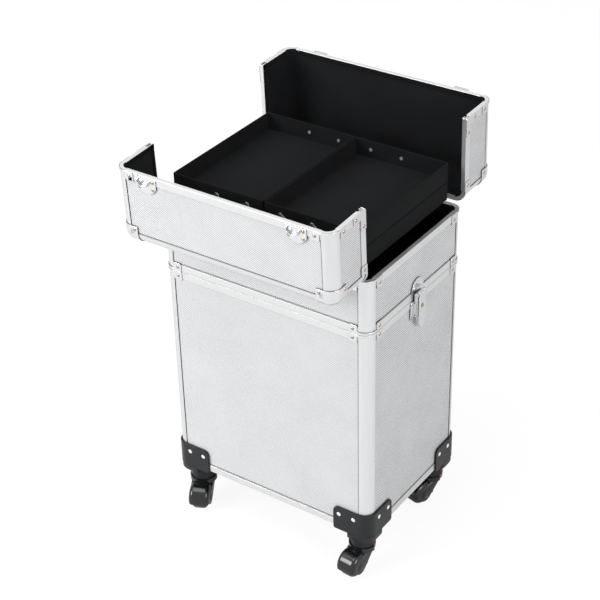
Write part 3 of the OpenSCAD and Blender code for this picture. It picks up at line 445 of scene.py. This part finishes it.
def metal_material(name, color, groups, metallic, rough, stretch, depth, edge=(1.6 * MM, 0.8), foot=None):
    """Metal with drawn lines, smudges and painted shade along its crevices; rough is its least and most
    roughness, edge is what the painted shade takes, and foot is the colour under FOOT_Z."""
    tree, shader, coords = start_material(name)
    lines = use_group(tree, groups["brushed"], Vector=coords["Object"], Stretch=stretch)
    marks = use_group(tree, groups["handling"], Vector=coords["Object"], Smudge_Scale=26.0)
    tone = blend_color(tree, calc(tree, "MULTIPLY", lines["Shade"], 0.35), color, shade(color, 0.90))
    if foot:
        level = put(tree, "ShaderNodeSeparateXYZ", {0: coords["Object"]}).outputs[2]
        tone = blend_color(tree, calc(tree, "LESS_THAN", level, FOOT_Z), tone, foot)
    # Painted shade along the crevices round the fitting
    tone = crevice_shade(tree, tone, *edge)
    feed(tree, shader, Base_Color=tone, Metallic=metallic,
         Roughness=worn_rough(tree, marks, rough, scuffed=0.02))
    bump(tree, shader, lines["Height"], strength=depth, distance=0.02 * MM)


def felt_material(settings, groups):
    """Black felt with a fibrous nap and a soft sheen."""
    tree, shader, coords = start_material("black_felt")
    color = tuple(settings.felt_color)
    nap = use_group(tree, groups["felt"], Vector=coords["Object"])
    tone = blend_color(tree, nap["Nap"], shade(color, 0.75), shade(color, 1.7))
    feed(tree, shader, Base_Color=tone, Roughness=remap(tree, nap["Nap"], 0, 1, 0.86, 0.97),
         Sheen_Weight=0.02, Sheen_Roughness=0.5, Specular_IOR_Level=0.12)
    bump(tree, shader, nap["Height"], strength=0.5, distance=0.2 * MM)


def moulding_material(name, color, groups, rough, depth, shine=0.5):
    """Moulded plastic with a fine grain and paler worn spots; rough is its least and most roughness."""
    tree, shader, coords = start_material(name)
    grain = use_group(tree, groups["moulded"], Vector=coords["Object"])
    tone = blend_color(tree, calc(tree, "MULTIPLY", grain["Wear"], 0.3), color, shade(color, 1.6))
    feed(tree, shader, Base_Color=tone, Roughness=remap(tree, grain["Wear"], 0, 1, *rough),
         Specular_IOR_Level=shine)
    bump(tree, shader, grain["Height"], strength=depth, distance=0.1 * MM)


def arm_material(color, groups):
    """Black enamelled strip with bare bright edges; its pin heads inside the trays are bare metal at under
    half the edges' tone.
    """
    tree, shader, coords = start_material("arm_strip")
    side = calc(tree, "ABSOLUTE", put(tree, "ShaderNodeSeparateXYZ", {0: coords["Normal"]}).outputs[1])
    depth = calc(tree, "ABSOLUTE", put(tree, "ShaderNodeSeparateXYZ", {0: coords["Object"]}).outputs[1])
    marks = use_group(tree, groups["handling"], Vector=coords["Object"], Smudge_Scale=60.0)
    head = calc(tree, "LESS_THAN", depth, PIN_HEAD_Y)
    bare = calc(tree, "MAXIMUM", calc(tree, "LESS_THAN", side, 0.6), head)
    tone = blend_color(tree, bare, ENAMEL_AND_GROOVE_SHADOW_BLACK, color)
    tone = blend_color(tree, head, tone, shade(color, 0.45))
    smudged = calc(tree, "MULTIPLY", marks["Smudge"], 0.08)
    feed(tree, shader, Base_Color=tone, Metallic=calc(tree, "MULTIPLY", bare, 0.5),
         Roughness=calc(tree, "ADD", remap(tree, bare, 0, 1, 0.38, 0.16), smudged))


def furrow_material(groups):
    """Shadowed black at the bottom of the panels' grooves."""
    tree, shader, coords = start_material("groove_shadow")
    marks = use_group(tree, groups["handling"], Vector=coords["Object"])
    feed(tree, shader, Base_Color=blend_color(tree, marks["Smudge"], ENAMEL_AND_GROOVE_SHADOW_BLACK, (0.03, 0.03, 0.032)),
         Roughness=remap(tree, marks["Scuff"], 0, 1, 0.7, 0.9))


# Meshes


def grid_quads(rows, columns, wrap):
    """Quads of a grid of points stored row by row; wrap joins the last row to the first."""
    last = rows if wrap else rows - 1
    i, j = np.meshgrid(np.arange(last), np.arange(columns - 1), indexing="ij")
    n = (i + 1) % rows
    corners = (i * columns + j, n * columns + j, n * columns + j + 1, i * columns + j + 1)
    return np.stack(corners, -1).reshape(-1, 4)


def corner_loop(half_x, half_y, r, steps):
    """Rounded rectangle, anticlockwise from the front right corner: points and outward directions."""
    turn = np.linspace(0, math.pi / 2, steps + 1)
    starts = np.array([-math.pi / 2, 0, math.pi / 2, math.pi])
    angle = (starts[:, None] + turn).ravel()
    out = np.stack([np.cos(angle), np.sin(angle)], 1)
    centre = np.array([[1, -1], [1, 1], [-1, 1], [-1, -1]]) * [half_x - r, half_y - r]
    return np.repeat(centre, steps + 1, 0) + r * out, out


def corner_u(half_x, back, r, steps):
    """Open path round three sides, from the back left to the back right along y = 0: points and outward
    directions."""
    turn = np.linspace(0, math.pi / 2, steps + 1)
    angle = np.concatenate([[math.pi], math.pi + turn, 1.5 * math.pi + turn, [2 * math.pi]])
    out = np.stack([np.cos(angle), np.sin(angle)], 1)
    centre = np.concatenate([[[-half_x + r, back]], np.repeat([[-half_x + r, r]], steps + 1, 0),
                             np.repeat([[half_x - r, r]], steps + 1, 0), [[half_x - r, back]]])
    return centre + r * out, out


def carry(path, out, inset, height):
    """Profile of insets and heights carried along a path: each point is moved inwards by its inset."""
    flat = path[:, None, :] - out[:, None, :] * inset[None, :, None]
    tall = np.broadcast_to(height[None, :, None], (len(path), len(height), 1))
    return np.concatenate([flat, tall], 2).reshape(-1, 3)


def fill_arc(radius, first, last, steps):
    """Arc of a circle as two arrays, from angle first to angle last in degrees."""
    angle = np.radians(np.linspace(first, last, steps + 1))
    return radius * np.cos(angle), radius * np.sin(angle)


def lid_place(points, back):
    """Points of a closed lid, with the outer wall at y = 0 and the rim at z = 0, swung open on the hinge."""
    swing = math.radians(BACK_SWING if back else FRONT_SWING)
    gap = LID_AXIS_Z - Z_RIM
    y = points[:, 1] + LID_AXIS_Y - HALF_D
    z = points[:, 2] + gap
    turned_y = y * math.cos(swing) - z * math.sin(swing) - LID_AXIS_Y
    turned_z = y * math.sin(swing) + z * math.cos(swing) + LID_AXIS_Z
    return np.stack([points[:, 0], -turned_y if back else turned_y, turned_z], 1)


def make_piece(name, verts, faces, body, finish):
    """Mesh piece from arrays of points and faces, with its finish and body."""
    mesh = bpy.data.meshes.new(name)
    mesh.from_pydata(np.asarray(verts).tolist(), [], [list(f) for f in faces])
    mesh.validate()
    work = bmesh.new()
    work.from_mesh(mesh)
    bmesh.ops.remove_doubles(work, verts=work.verts, dist=1e-7)
    bmesh.ops.recalc_face_normals(work, faces=work.faces)
    work.to_mesh(mesh)
    work.free()
    mesh.shade_smooth()
    mesh.set_sharp_from_angle(angle=math.radians(SHARP_ANGLE))
    mesh.materials.append(bpy.data.materials[finish])
    piece = bpy.data.objects.new(name, mesh)
    bpy.context.scene.collection.objects.link(piece)
    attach(piece, body)
    return piece


def thicken(piece, thickness):
    """Gives a sheet its thickness on the side away from its faces."""
    solid = piece.modifiers.new("Thickness", "SOLIDIFY")
    solid.thickness = thickness
    solid.offset = -1


def join(parts):
    """Joins lists of (points, faces) into one."""
    verts, faces, first = [], [], 0
    for points, quads in parts:
        verts.append(np.asarray(points).reshape(-1, 3))
        faces.extend([[first + i for i in face] for face in quads])
        first += len(points)
    return np.concatenate(verts), faces


def bars(centre, along, across, up, size, taper):
    """Many small bars at once: each is a box of size (along, across, up) whose top shrinks by taper."""
    corner = np.array([[-1, -1], [1, -1], [1, 1], [-1, 1]]) / 2
    low = np.concatenate([corner, np.full((4, 1), -0.5)], 1)
    high = np.concatenate([corner * taper, np.full((4, 1), 0.5)], 1)
    box = np.concatenate([low, high]) * size
    points = (centre[:, None, :] + box[None, :, 0:1] * along[:, None, :]
              + box[None, :, 1:2] * across[:, None, :] + box[None, :, 2:3] * up[:, None, :])
    quads = np.array([[0, 3, 2, 1], [4, 5, 6, 7], [0, 1, 5, 4], [1, 2, 6, 5], [2, 3, 7, 6], [3, 0, 4, 7]])
    faces = (np.arange(len(centre))[:, None, None] * 8 + quads).reshape(-1, 4)
    return points.reshape(-1, 3), faces


def revolve(profile, centre, axis, steps):
    """Profile of radius and height pairs turned about an axis through a centre; ends on the axis close."""
    axis = np.asarray(axis, float) / np.linalg.norm(axis)
    side = np.cross(axis, [0.0, 0.0, 1.0]) if abs(axis[2]) < 0.9 else np.array([1.0, 0.0, 0.0])
    side /= np.linalg.norm(side)
    other = np.cross(axis, side)
    angle = np.linspace(0, 2 * math.pi, steps, endpoint=False)
    ring = np.cos(angle)[:, None] * side + np.sin(angle)[:, None] * other
    profile = np.asarray(profile, float)
    points = (np.asarray(centre) + profile[None, :, :1] * ring[:, None, :] + profile[None, :, 1:] * axis)
    return points.reshape(-1, 3), grid_quads(steps, len(profile), True)


# Pieces


# Finish of each material slot
FINISH_OF = {
    "panel": "pressed_panel", "frame": "satin_frame", "chrome": "polished_chrome", "steel": "drawn_steel",
    "rivet": "gold_rivet", "lining": "black_felt", "moulding": "moulded_black", "ring": "red_ring",
    "tread": "wheel_rubber",
}


class CASE_OT_finishes(Operator):
    """Makes the finishes and puts them on the frame's own parts"""

    bl_idname = "makeup_case.finishes"
    bl_label = "Finishes"

    def execute(self, context):
        settings = context.scene.makeup_case
        groups = {"lattice": lattice_group(), "handling": handling_group(), "brushed": brushed_group(),
                  "felt": felt_group(), "moulded": moulded_group()}
        chrome = tuple(settings.chrome_color)
        black = tuple(settings.moulding_color)
        panel_material(settings, groups)
        metal_material("satin_frame", tuple(settings.frame_color), groups, metallic=0.85, rough=(0.34, 0.42),
                       stretch=(900, 900, 12), depth=0.06)
        metal_material("polished_chrome", chrome, groups, metallic=0.95, rough=(0.07, 0.15),
                       stretch=(300, 300, 300), depth=0.05)
        metal_material("drawn_steel", shade(chrome, 0.86), groups, metallic=1.0, rough=(0.22, 0.32),
                       stretch=(1200, 1200, 10), depth=0.3)
        # Rivets take a wide, strong painted shade round their skirts
        metal_material("gold_rivet", tuple(settings.rivet_color), groups, metallic=1.0, rough=(0.16, 0.26),
                       stretch=(400, 400, 400), depth=0.1, edge=(3 * MM, 0.95, 0.6, 0.97),
                       foot=(0.92, 0.91, 0.89))
        felt_material(settings, groups)
        moulding_material("moulded_black", black, groups, rough=(0.36, 0.48), depth=0.35, shine=0.3)
        moulding_material("gloss_black", shade(black, 0.7), groups, rough=(0.20, 0.30), depth=0.12)
        moulding_material("wheel_rubber", shade(black, 0.6), groups, rough=(0.24, 0.36), depth=0.15)
        moulding_material("red_ring", tuple(settings.ring_color), groups, rough=(0.3, 0.4), depth=0.15)
        arm_material((0.86, 0.87, 0.88), groups)
        furrow_material(groups)
        for part in frame["record"]["subparts"]:
            node = frame["nodes"][part["node"]]
            finish = FINISH_OF[part["material_slot"]]
            if "_arm_" in part["node"]:
                finish = "arm_strip"
            if part["node"].startswith("caster_"):
                finish = "gloss_black"
            if part["node"].startswith(("lid_lever", "lid_latch")):
                finish = "drawn_steel"
            node.data.materials.clear()
            node.data.materials.append(bpy.data.materials[finish])
        return {"FINISHED"}


# Edge rounding of the bent and moulded pieces, in millimetres
ROUNDED = {
    "trunk_clips": 0.33, "box_clips": 0.33, "front_lid_clips": 0.33, "back_lid_clips": 0.33,
    "key_strikes": 0.35, "key_latch_bases": 0.4, "lid_strikes": 0.35, "lid_latch_bases": 0.35,
    "lid_lever_left": 0.3, "lid_lever_right": 0.3,
    "trunk_bands": 0.4, "box_bands": 0.4, "front_lid_bands": 0.4, "back_lid_bands": 0.4,
    "corner_guards": 0.6, "handle_brackets": 0.5,
}


class CASE_OT_edges(Operator):
    """Rounds the edges of the clips, latches, bands, guards and brackets"""

    bl_idname = "makeup_case.edges"
    bl_label = "Rounded edges"

    def execute(self, context):
        for name, width in ROUNDED.items():
            node = frame["nodes"][name]
            mesh = node.data.copy()
            mesh.name = "rounded_" + name
            work = bmesh.new()
            work.from_mesh(mesh)
            bmesh.ops.remove_doubles(work, verts=work.verts, dist=1e-6)
            bmesh.ops.dissolve_limit(work, angle_limit=math.radians(0.03), verts=work.verts,
                                     edges=work.edges)
            work.to_mesh(mesh)
            work.free()
            mesh.shade_smooth()
            mesh.set_sharp_from_angle(angle=math.radians(SHARP_ANGLE))
            piece = bpy.data.objects.new("rounded_" + name, mesh)
            context.scene.collection.objects.link(piece)
            bevel = piece.modifiers.new("Edges", "BEVEL")
            bevel.width = width * MM
            bevel.segments = 3
            bevel.limit_method = "ANGLE"
            bevel.angle_limit = math.radians(65)
            bevel.use_clamp_overlap = False
            bevel.harden_normals = True
            split = piece.modifiers.new("Triangles", "TRIANGULATE")
            split.keep_custom_normals = True
            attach(piece, node["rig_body"])
            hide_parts(name)
        return {"FINISHED"}


class CASE_OT_linings(Operator):
    """Lines the trunk, the box and both lids with felt"""

    bl_idname = "makeup_case.linings"
    bl_label = "Linings"

    def execute(self, context):
        felt = context.scene.makeup_case.lining_t
        face = WALL + FELT_GAP + felt
        r = POST_R - face
        half_x = HALF_W - face
        for name, low, high in (("trunk", Z_TRUNK, Z_SEAM), ("box", Z_BOX, Z_RIM)):
            path, out = corner_loop(half_x, HALF_D - face, r, CORNER_STEPS)
            height = np.array([low + FELT_FOOT, high - FELT_EDGE])
            points = carry(path, out, np.zeros(2), height)
            faces = grid_quads(len(path), 2, True)
            thicken(make_piece(name + "_lining", points, faces, name, "black_felt"), felt)
        for name, length, back in LIDS:
            top = LID_H - face
            end = length - face - FELT_EDGE
            path, out = corner_u(half_x, end, r, CORNER_STEPS)
            arc_in, arc_up = fill_arc(r, 180, 90, CORNER_STEPS)
            inset = np.concatenate([[0.0], r + arc_in])
            height = np.concatenate([[FELT_EDGE], top - r + arc_up])
            shell = carry(path, out, inset, height)
            span = np.array([-half_x + r, half_x - r])
            x, y = np.meshgrid(span, np.array([r, end]), indexing="ij")
            lid_top = np.stack([x.ravel(), y.ravel(), np.full(4, top)], 1)
            points, faces = join([(shell, grid_quads(len(path), len(inset), False)),
                                  (lid_top, grid_quads(2, 2, False))])
            points[:, 1] += face
            points = lid_place(points, back)
            thicken(make_piece(name + "_lining", points, faces, name, "black_felt"), felt)
        return {"FINISHED"}


def face_points(side, along, depth, height):
    """Points on case face number side, from the distance along it, the depth behind the posts' plane and the
    height; the front is 0, and the right side, the back and the left side follow."""
    along, depth, height = np.broadcast_arrays(along, depth, height)
    if side == 0:
        return np.stack([along, depth - HALF_D, height], -1)
    if side == 1:
        return np.stack([HALF_W - depth, along, height], -1)
    if side == 2:
        return np.stack([-along, HALF_D - depth, height], -1)
    return np.stack([depth - HALF_W, -along, height], -1)


def face_inward(side):
    """Direction into the case from face number side."""
    return face_points(side, 0.0, 1.0, 0.0) - face_points(side, 0.0, 0.0, 0.0)


def face_reach(side):
    """Half the width of the panel on face number side."""
    return (HALF_W if side % 2 == 0 else HALF_D) - POST_R


def hem(start, end, inward, deep, felt):
    """Felt hem over a band's inner lip: a rounded hook section carried from start to end; inward points off
    the wall and deep points along it, away from the edge."""
    start, end, inward, deep = (np.asarray(a, float) for a in (start, end, inward, deep))
    turn_in, turn_deep = fill_arc(felt, 0, 90, FOLD_STEPS)
    fold = LIP_H + HEM_FOLD
    off = np.concatenate([[BAND_T + FELT_GAP, BAND_T + felt], BAND_T + turn_in,
                          [FELT_GAP, FELT_GAP, BAND_T + FELT_GAP]])
    along = np.concatenate([[HEM_EDGE, HEM_EDGE], fold + turn_deep,
                            [fold + felt, LIP_H + FELT_GAP, LIP_H + FELT_GAP]])
    section = off[:, None] * inward + along[:, None] * deep
    points = np.concatenate([start + section, end + section])
    count = len(section)
    step = np.arange(count)
    after = (step + 1) % count
    faces = np.stack([step, after, after + count, step + count], 1).tolist()
    return points, faces


class CASE_OT_hems(Operator):
    """Covers the inner lips of the edge bands with felt hems"""

    bl_idname = "makeup_case.hems"
    bl_label = "Hems"

    def execute(self, context):
        felt = context.scene.makeup_case.lining_t
        for body, top in (("trunk", Z_SEAM), ("box", Z_RIM)):
            parts = []
            for side in range(4):
                ends = [face_points(side, sign * face_reach(side), WALL, top) for sign in (-1, 1)]
                parts.append(hem(ends[0], ends[1], face_inward(side), (0, 0, -1), felt))
            points, faces = join(parts)
            make_piece(body + "_hems", points, faces, body, "black_felt")
        for body, length, back in LIDS:
            wall_z = LID_H - POST_R
            reach = HALF_W - POST_R
            top = LID_H - WALL
            parts = [hem((-reach, WALL, 0), (reach, WALL, 0), (0, 1, 0), (0, 0, 1), felt),
                     hem((-reach, length, top), (reach, length, top), (0, 0, -1), (0, -1, 0), felt)]
            for sign in (-1, 1):
                x = sign * (HALF_W - WALL)
                inward = (-sign, 0, 0)
                parts.append(hem((x, POST_R, 0), (x, length, 0), inward, (0, 0, 1), felt))
                parts.append(hem((x, length, 0), (x, length, wall_z), inward, (0, -1, 0), felt))
            points, faces = join(parts)
            make_piece(body + "_hems", lid_place(points, back), faces, body, "black_felt")
        return {"FINISHED"}


class CASE_OT_trays(Operator):
    """Makes the four felt trays with rounded rims"""

    bl_idname = "makeup_case.trays"
    bl_label = "Trays"

    def execute(self, context):
        settings = context.scene.makeup_case
        wall, r = settings.tray_wall, settings.tray_corner
        edge = wall / 2
        for level in ("lower", "upper"):
            for side in ("left", "right"):
                name = "%s_%s_tray" % (level, side)
                low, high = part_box(name)
                size = (high - low) / 2
                middle = (high + low) / 2
                path, out = corner_loop(size.x, size.y, r, CORNER_STEPS)
                foot_in, foot_up = fill_arc(TRAY_FOOT, 270, 180, FOLD_STEPS)
                rim_in, rim_up = fill_arc(edge, 180, 0, CORNER_STEPS)
                cove_in, cove_up = fill_arc(TRAY_COVE, 180, 270, FOLD_STEPS)
                inset = np.concatenate([TRAY_FOOT + foot_in, edge + rim_in, wall + TRAY_COVE + cove_in])
                height = np.concatenate([TRAY_FOOT + foot_up, 2 * size.z - edge + rim_up,
                                         wall + TRAY_COVE + cove_up])
                points = carry(path + [middle.x, middle.y], out, inset, height + low.z)
                faces = grid_quads(len(path), len(inset), True).tolist()
                ring = np.arange(len(path)) * len(inset)
                faces.append(ring[::-1].tolist())
                faces.append((ring + len(inset) - 1).tolist())
                tray = make_piece("felt_" + name, points, faces, name, "black_felt")
                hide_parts(name)
        return {"FINISHED"}


def groove_parts(line_start, line_end, inward, pitch, share):
    """Dark ribbon of painted shadow in a groove and the panel's bridges over it, one to a pitch, which cover
    a share of it.
    """
    line_start, line_end, inward = (np.asarray(a, float) for a in (line_start, line_end, inward))
    length = np.linalg.norm(line_end - line_start)
    along = (line_end - line_start) / length
    across = np.cross(inward, along)
    width = GROOVE_W * GROOVE_FILL
    one = np.ones((1, 1))
    # Painted shadow: a dark ribbon at the groove's bottom
    deep = (line_start + line_end) / 2 + inward * SHADOW_RIBBON_DEPTH
    shadow_ribbon = bars(deep[None, :], along * one, across * one, -inward * one, (length, width, RIBBON_T), taper=1)
    count = int(length / pitch) if share else 0
    step = (np.arange(count) + 0.5)[:, None] / max(count, 1)
    centre = line_start + (line_end - line_start) * step + inward * BRIDGE_DEPTH
    ones = np.ones((count, 1))
    size = (pitch * share, width, RIBBON_T)
    bridge = bars(centre, along * ones, across * ones, -inward * ones, size, taper=0.7)
    return shadow_ribbon, bridge


class CASE_OT_grooves(Operator):
    """Fills the panels' edge grooves with a dark line of painted shadow and the pressed sheet's bridges over
    it
    """

    bl_idname = "makeup_case.grooves"
    bl_label = "Panel grooves"

    def execute(self, context):
        pitch = context.scene.makeup_case.lattice_pitch
        width = GROOVE_W
        lines = {"trunk": [], "box": [], "front_lid": [], "back_lid": []}
        for body, low, high, cover in (("trunk", Z_TRUNK, Z_SEAM, DOTTED), ("box", Z_BOX, Z_RIM, FAINT)):
            level = low + BAND_T + BAND_W + width / 2
            for side in range(4):
                reach = face_reach(side)
                edge = reach - width / 2
                share = cover if side % 2 == 0 else 0
                for ends, bridged in ((((-edge, low + BAND_W), (-edge, high - BAND_W)), 0),
                                      (((edge, low + BAND_W), (edge, high - BAND_W)), 0),
                                      (((-reach + width, level), (reach - width, level)), share)):
                    points = [face_points(side, a, PANEL_INSET, z) for a, z in ends]
                    lines[body].append((points[0], points[1], face_inward(side), bridged))
        for body, length, back in LIDS:
            edge = HALF_W - POST_R - width / 2
            skin = LID_H - PANEL_INSET
            wall_z = LID_H - POST_R
            ridge = POST_R + width
            down, inside = (0, 0, -1), (0, 1, 0)
            flat = [((-edge + CLIP_LEG, ridge, skin), (edge - CLIP_LEG, ridge, skin), down, DOTTED)]
            for sign in (-1, 1):
                x = sign * edge
                flat.append(((x, POST_R + CLIP_LEG, skin), (x, length - BAND_W, skin), down, 0))
                flat.append(((x, PANEL_INSET, BAND_W), (x, PANEL_INSET, wall_z - CLIP_LEG), inside, 0))
                skin_x = sign * (HALF_W - PANEL_INSET)
                post = POST_R + width / 2
                split = length - BAND_W - BAND_T - width / 2
                flat.append(((skin_x, post, BAND_W), (skin_x, post, wall_z - CLIP_LEG), (-sign, 0, 0), 0))
                flat.append(((skin_x, split, BAND_W), (skin_x, split, wall_z), (-sign, 0, 0), DOTTED))
            for start, end, inward, share in flat:
                three = np.array([start, end, np.add(start, inward)], float)
                placed = lid_place(three, back)
                lines[body].append((placed[0], placed[1], placed[2] - placed[0], share))
        for body, segments in lines.items():
            made = [groove_parts(start, end, inward, pitch, share) for start, end, inward, share in segments]
            for label, index, finish in (("shadow", 0, "groove_shadow"), ("bridges", 1, "pressed_panel")):
                points, faces = join([parts[index] for parts in made])
                make_piece("%s_groove_%s" % (body, label), points, faces, body, finish)
        return {"FINISHED"}


class CASE_OT_small_fittings(Operator):
    """Adds the lock barrels with their key slots as dark bars of painted shade, and the axle caps"""

    bl_idname = "makeup_case.small_fittings"
    bl_label = "Small fittings"

    def execute(self, context):
        for side, sign in (("left", -1), ("right", 1)):
            lever = "key_lever_" + side
            low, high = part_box(lever)
            tip = high.x if sign > 0 else low.x
            level = Z_SEAM - BARREL_DROP
            points, faces = revolve(np.array(BARREL_DOME) * MM, (tip, 0.0, level), (sign, 0, 0), steps=28)
            make_piece("lock_barrel_" + side, points, faces, lever, "gold_rivet")
            # The key slot is a dark bar of painted shade where the keyhole is
            slot_at = np.array([[tip + sign * SLOT_UP, 0.0, level]])
            along, across, up = (np.array([way], float) for way in ((0, 0, 1), (0, 1, 0), (sign, 0, 0)))
            points, faces = bars(slot_at, along, across, up, SLOT_SIZE, taper=0.9)
            make_piece("lock_slot_" + side, points, faces, lever, "groove_shadow")
        for corner in ("fl", "fr", "bl", "br"):
            joint = JOINTS["roll_" + corner]
            axis = np.array(joint["axis"], float)
            hub = np.array(joint["pos_m"])
            cap = np.array(CAP_PROFILE) * MM
            parts = [revolve(cap, hub + sign * axis * CAP_OUT, sign * axis, steps=32) for sign in (-1, 1)]
            points, faces = join(parts)
            make_piece("axle_caps_" + corner, points, faces, "caster_" + corner, "gloss_black")
        return {"FINISHED"}


def seen_ray(tree):
    """Gives the camera ray socket, and 1 for rays from the camera, a mirror or glass."""
    path = tree.nodes.new("ShaderNodeLightPath").outputs
    direct = calc(tree, "MAXIMUM", path["Is Camera Ray"], path["Is Glossy Ray"])
    return path["Is Camera Ray"], calc(tree, "MAXIMUM", direct, path["Is Transmission Ray"])


class CASE_OT_stage(Operator):
    """Sets the pale floor, the soft light and the camera"""

    bl_idname = "makeup_case.stage"
    bl_label = "Stage"

    def execute(self, context):
        scene = context.scene
        settings = scene.makeup_case
        scene.view_settings.view_transform = "Standard"
        floor_mesh = bpy.data.meshes.new("studio_floor")
        corners = [(x * FLOOR_HALF, y * FLOOR_HALF, 0) for x, y in ((-1, -1), (1, -1), (1, 1), (-1, 1))]
        floor_mesh.from_pydata(corners, [], [(0, 1, 2, 3)])
        floor = bpy.data.objects.new("studio_floor", floor_mesh)
        scene.collection.objects.link(floor)
        paint = bpy.data.materials.new("pale_floor")
        paint.use_nodes = True
        tree = paint.node_tree
        shader = tree.nodes["Principled BSDF"]
        feed(tree, shader, Base_Color=(FLOOR_TONE,) * 3, Roughness=0.9, Specular_IOR_Level=0.1)
        light = put(tree, "ShaderNodeEmission", {"Color": (1, 1, 1, 1), "Strength": FLOOR_GLOW}).outputs[0]
        from_camera, seen = seen_ray(tree)
        share = calc(tree, "MAXIMUM", calc(tree, "MULTIPLY", seen, MIRROR_SHARE),
                     calc(tree, "MULTIPLY", from_camera, CAMERA_SHARE))
        mixed = put(tree, "ShaderNodeMixShader", {0: share, 1: shader.outputs[0], 2: light})
        tree.links.new(mixed.outputs[0], tree.nodes["Material Output"].inputs[0])
        floor_mesh.materials.append(paint)
        world = bpy.data.worlds.new("studio")
        scene.world = world
        world.use_nodes = True
        tree = world.node_tree
        back = tree.nodes["Background"]
        seen = seen_ray(tree)[1]
        tree.links.new(remap(tree, seen, 0, 1, WORLD_LIGHT, 1.0), back.inputs["Strength"])
        back.inputs["Color"].default_value = (1, 1, 1, 1)
        for name, place, wide, power in LAMPS:
            lamp = bpy.data.lights.new(name, "AREA")
            lamp.shape = "DISK"
            lamp.size = wide
            lamp.energy = power
            lamp_object = bpy.data.objects.new(name, lamp)
            lamp_object.location = place
            lamp_object.rotation_euler = (AIM - Vector(place)).to_track_quat("-Z", "Y").to_euler()
            scene.collection.objects.link(lamp_object)
        pan, tilt, roll = settings.camera_turn
        camera_data = bpy.data.cameras.new("photo_camera")
        camera_data.sensor_width = SENSOR_W
        camera_data.lens = settings.camera_lens
        camera_data.clip_end = SIGHT
        camera = bpy.data.objects.new("photo_camera", camera_data)
        camera.matrix_world = (Matrix.Translation(settings.camera_place) @ Matrix.Rotation(pan, 4, "Z")
                               @ Matrix.Rotation(math.pi / 2 + tilt, 4, "X") @ Matrix.Rotation(roll, 4, "Z"))
        scene.collection.objects.link(camera)
        scene.camera = camera
        return {"FINISHED"}


class CASE_PT_panel(Panel):
    """Sizes, colours and steps of the makeup case"""

    bl_idname = "CASE_PT_panel"
    bl_label = "Makeup case"
    bl_space_type = "VIEW_3D"
    bl_region_type = "UI"
    bl_category = "Makeup case"

    def draw(self, context):
        settings = context.scene.makeup_case
        for name in CaseSettings.__annotations__:
            self.layout.prop(settings, name)
        for step in STEPS:
            self.layout.operator(step.bl_idname)


STEPS = (
    CASE_OT_finishes, CASE_OT_edges, CASE_OT_linings, CASE_OT_hems, CASE_OT_trays, CASE_OT_grooves,
    CASE_OT_small_fittings, CASE_OT_stage,
)
CLASSES = (CaseSettings, *STEPS, CASE_PT_panel)


def register():
    for cls in CLASSES:
        bpy.utils.register_class(cls)
    bpy.types.Scene.makeup_case = PointerProperty(type=CaseSettings)


def unregister():
    del bpy.types.Scene.makeup_case
    for cls in reversed(CLASSES):
        bpy.utils.unregister_class(cls)


def main():
    register()
    for step in STEPS:
        group, name = step.bl_idname.split(".")
        getattr(getattr(bpy.ops, group), name)()


if __name__ == "__main__":
    main()
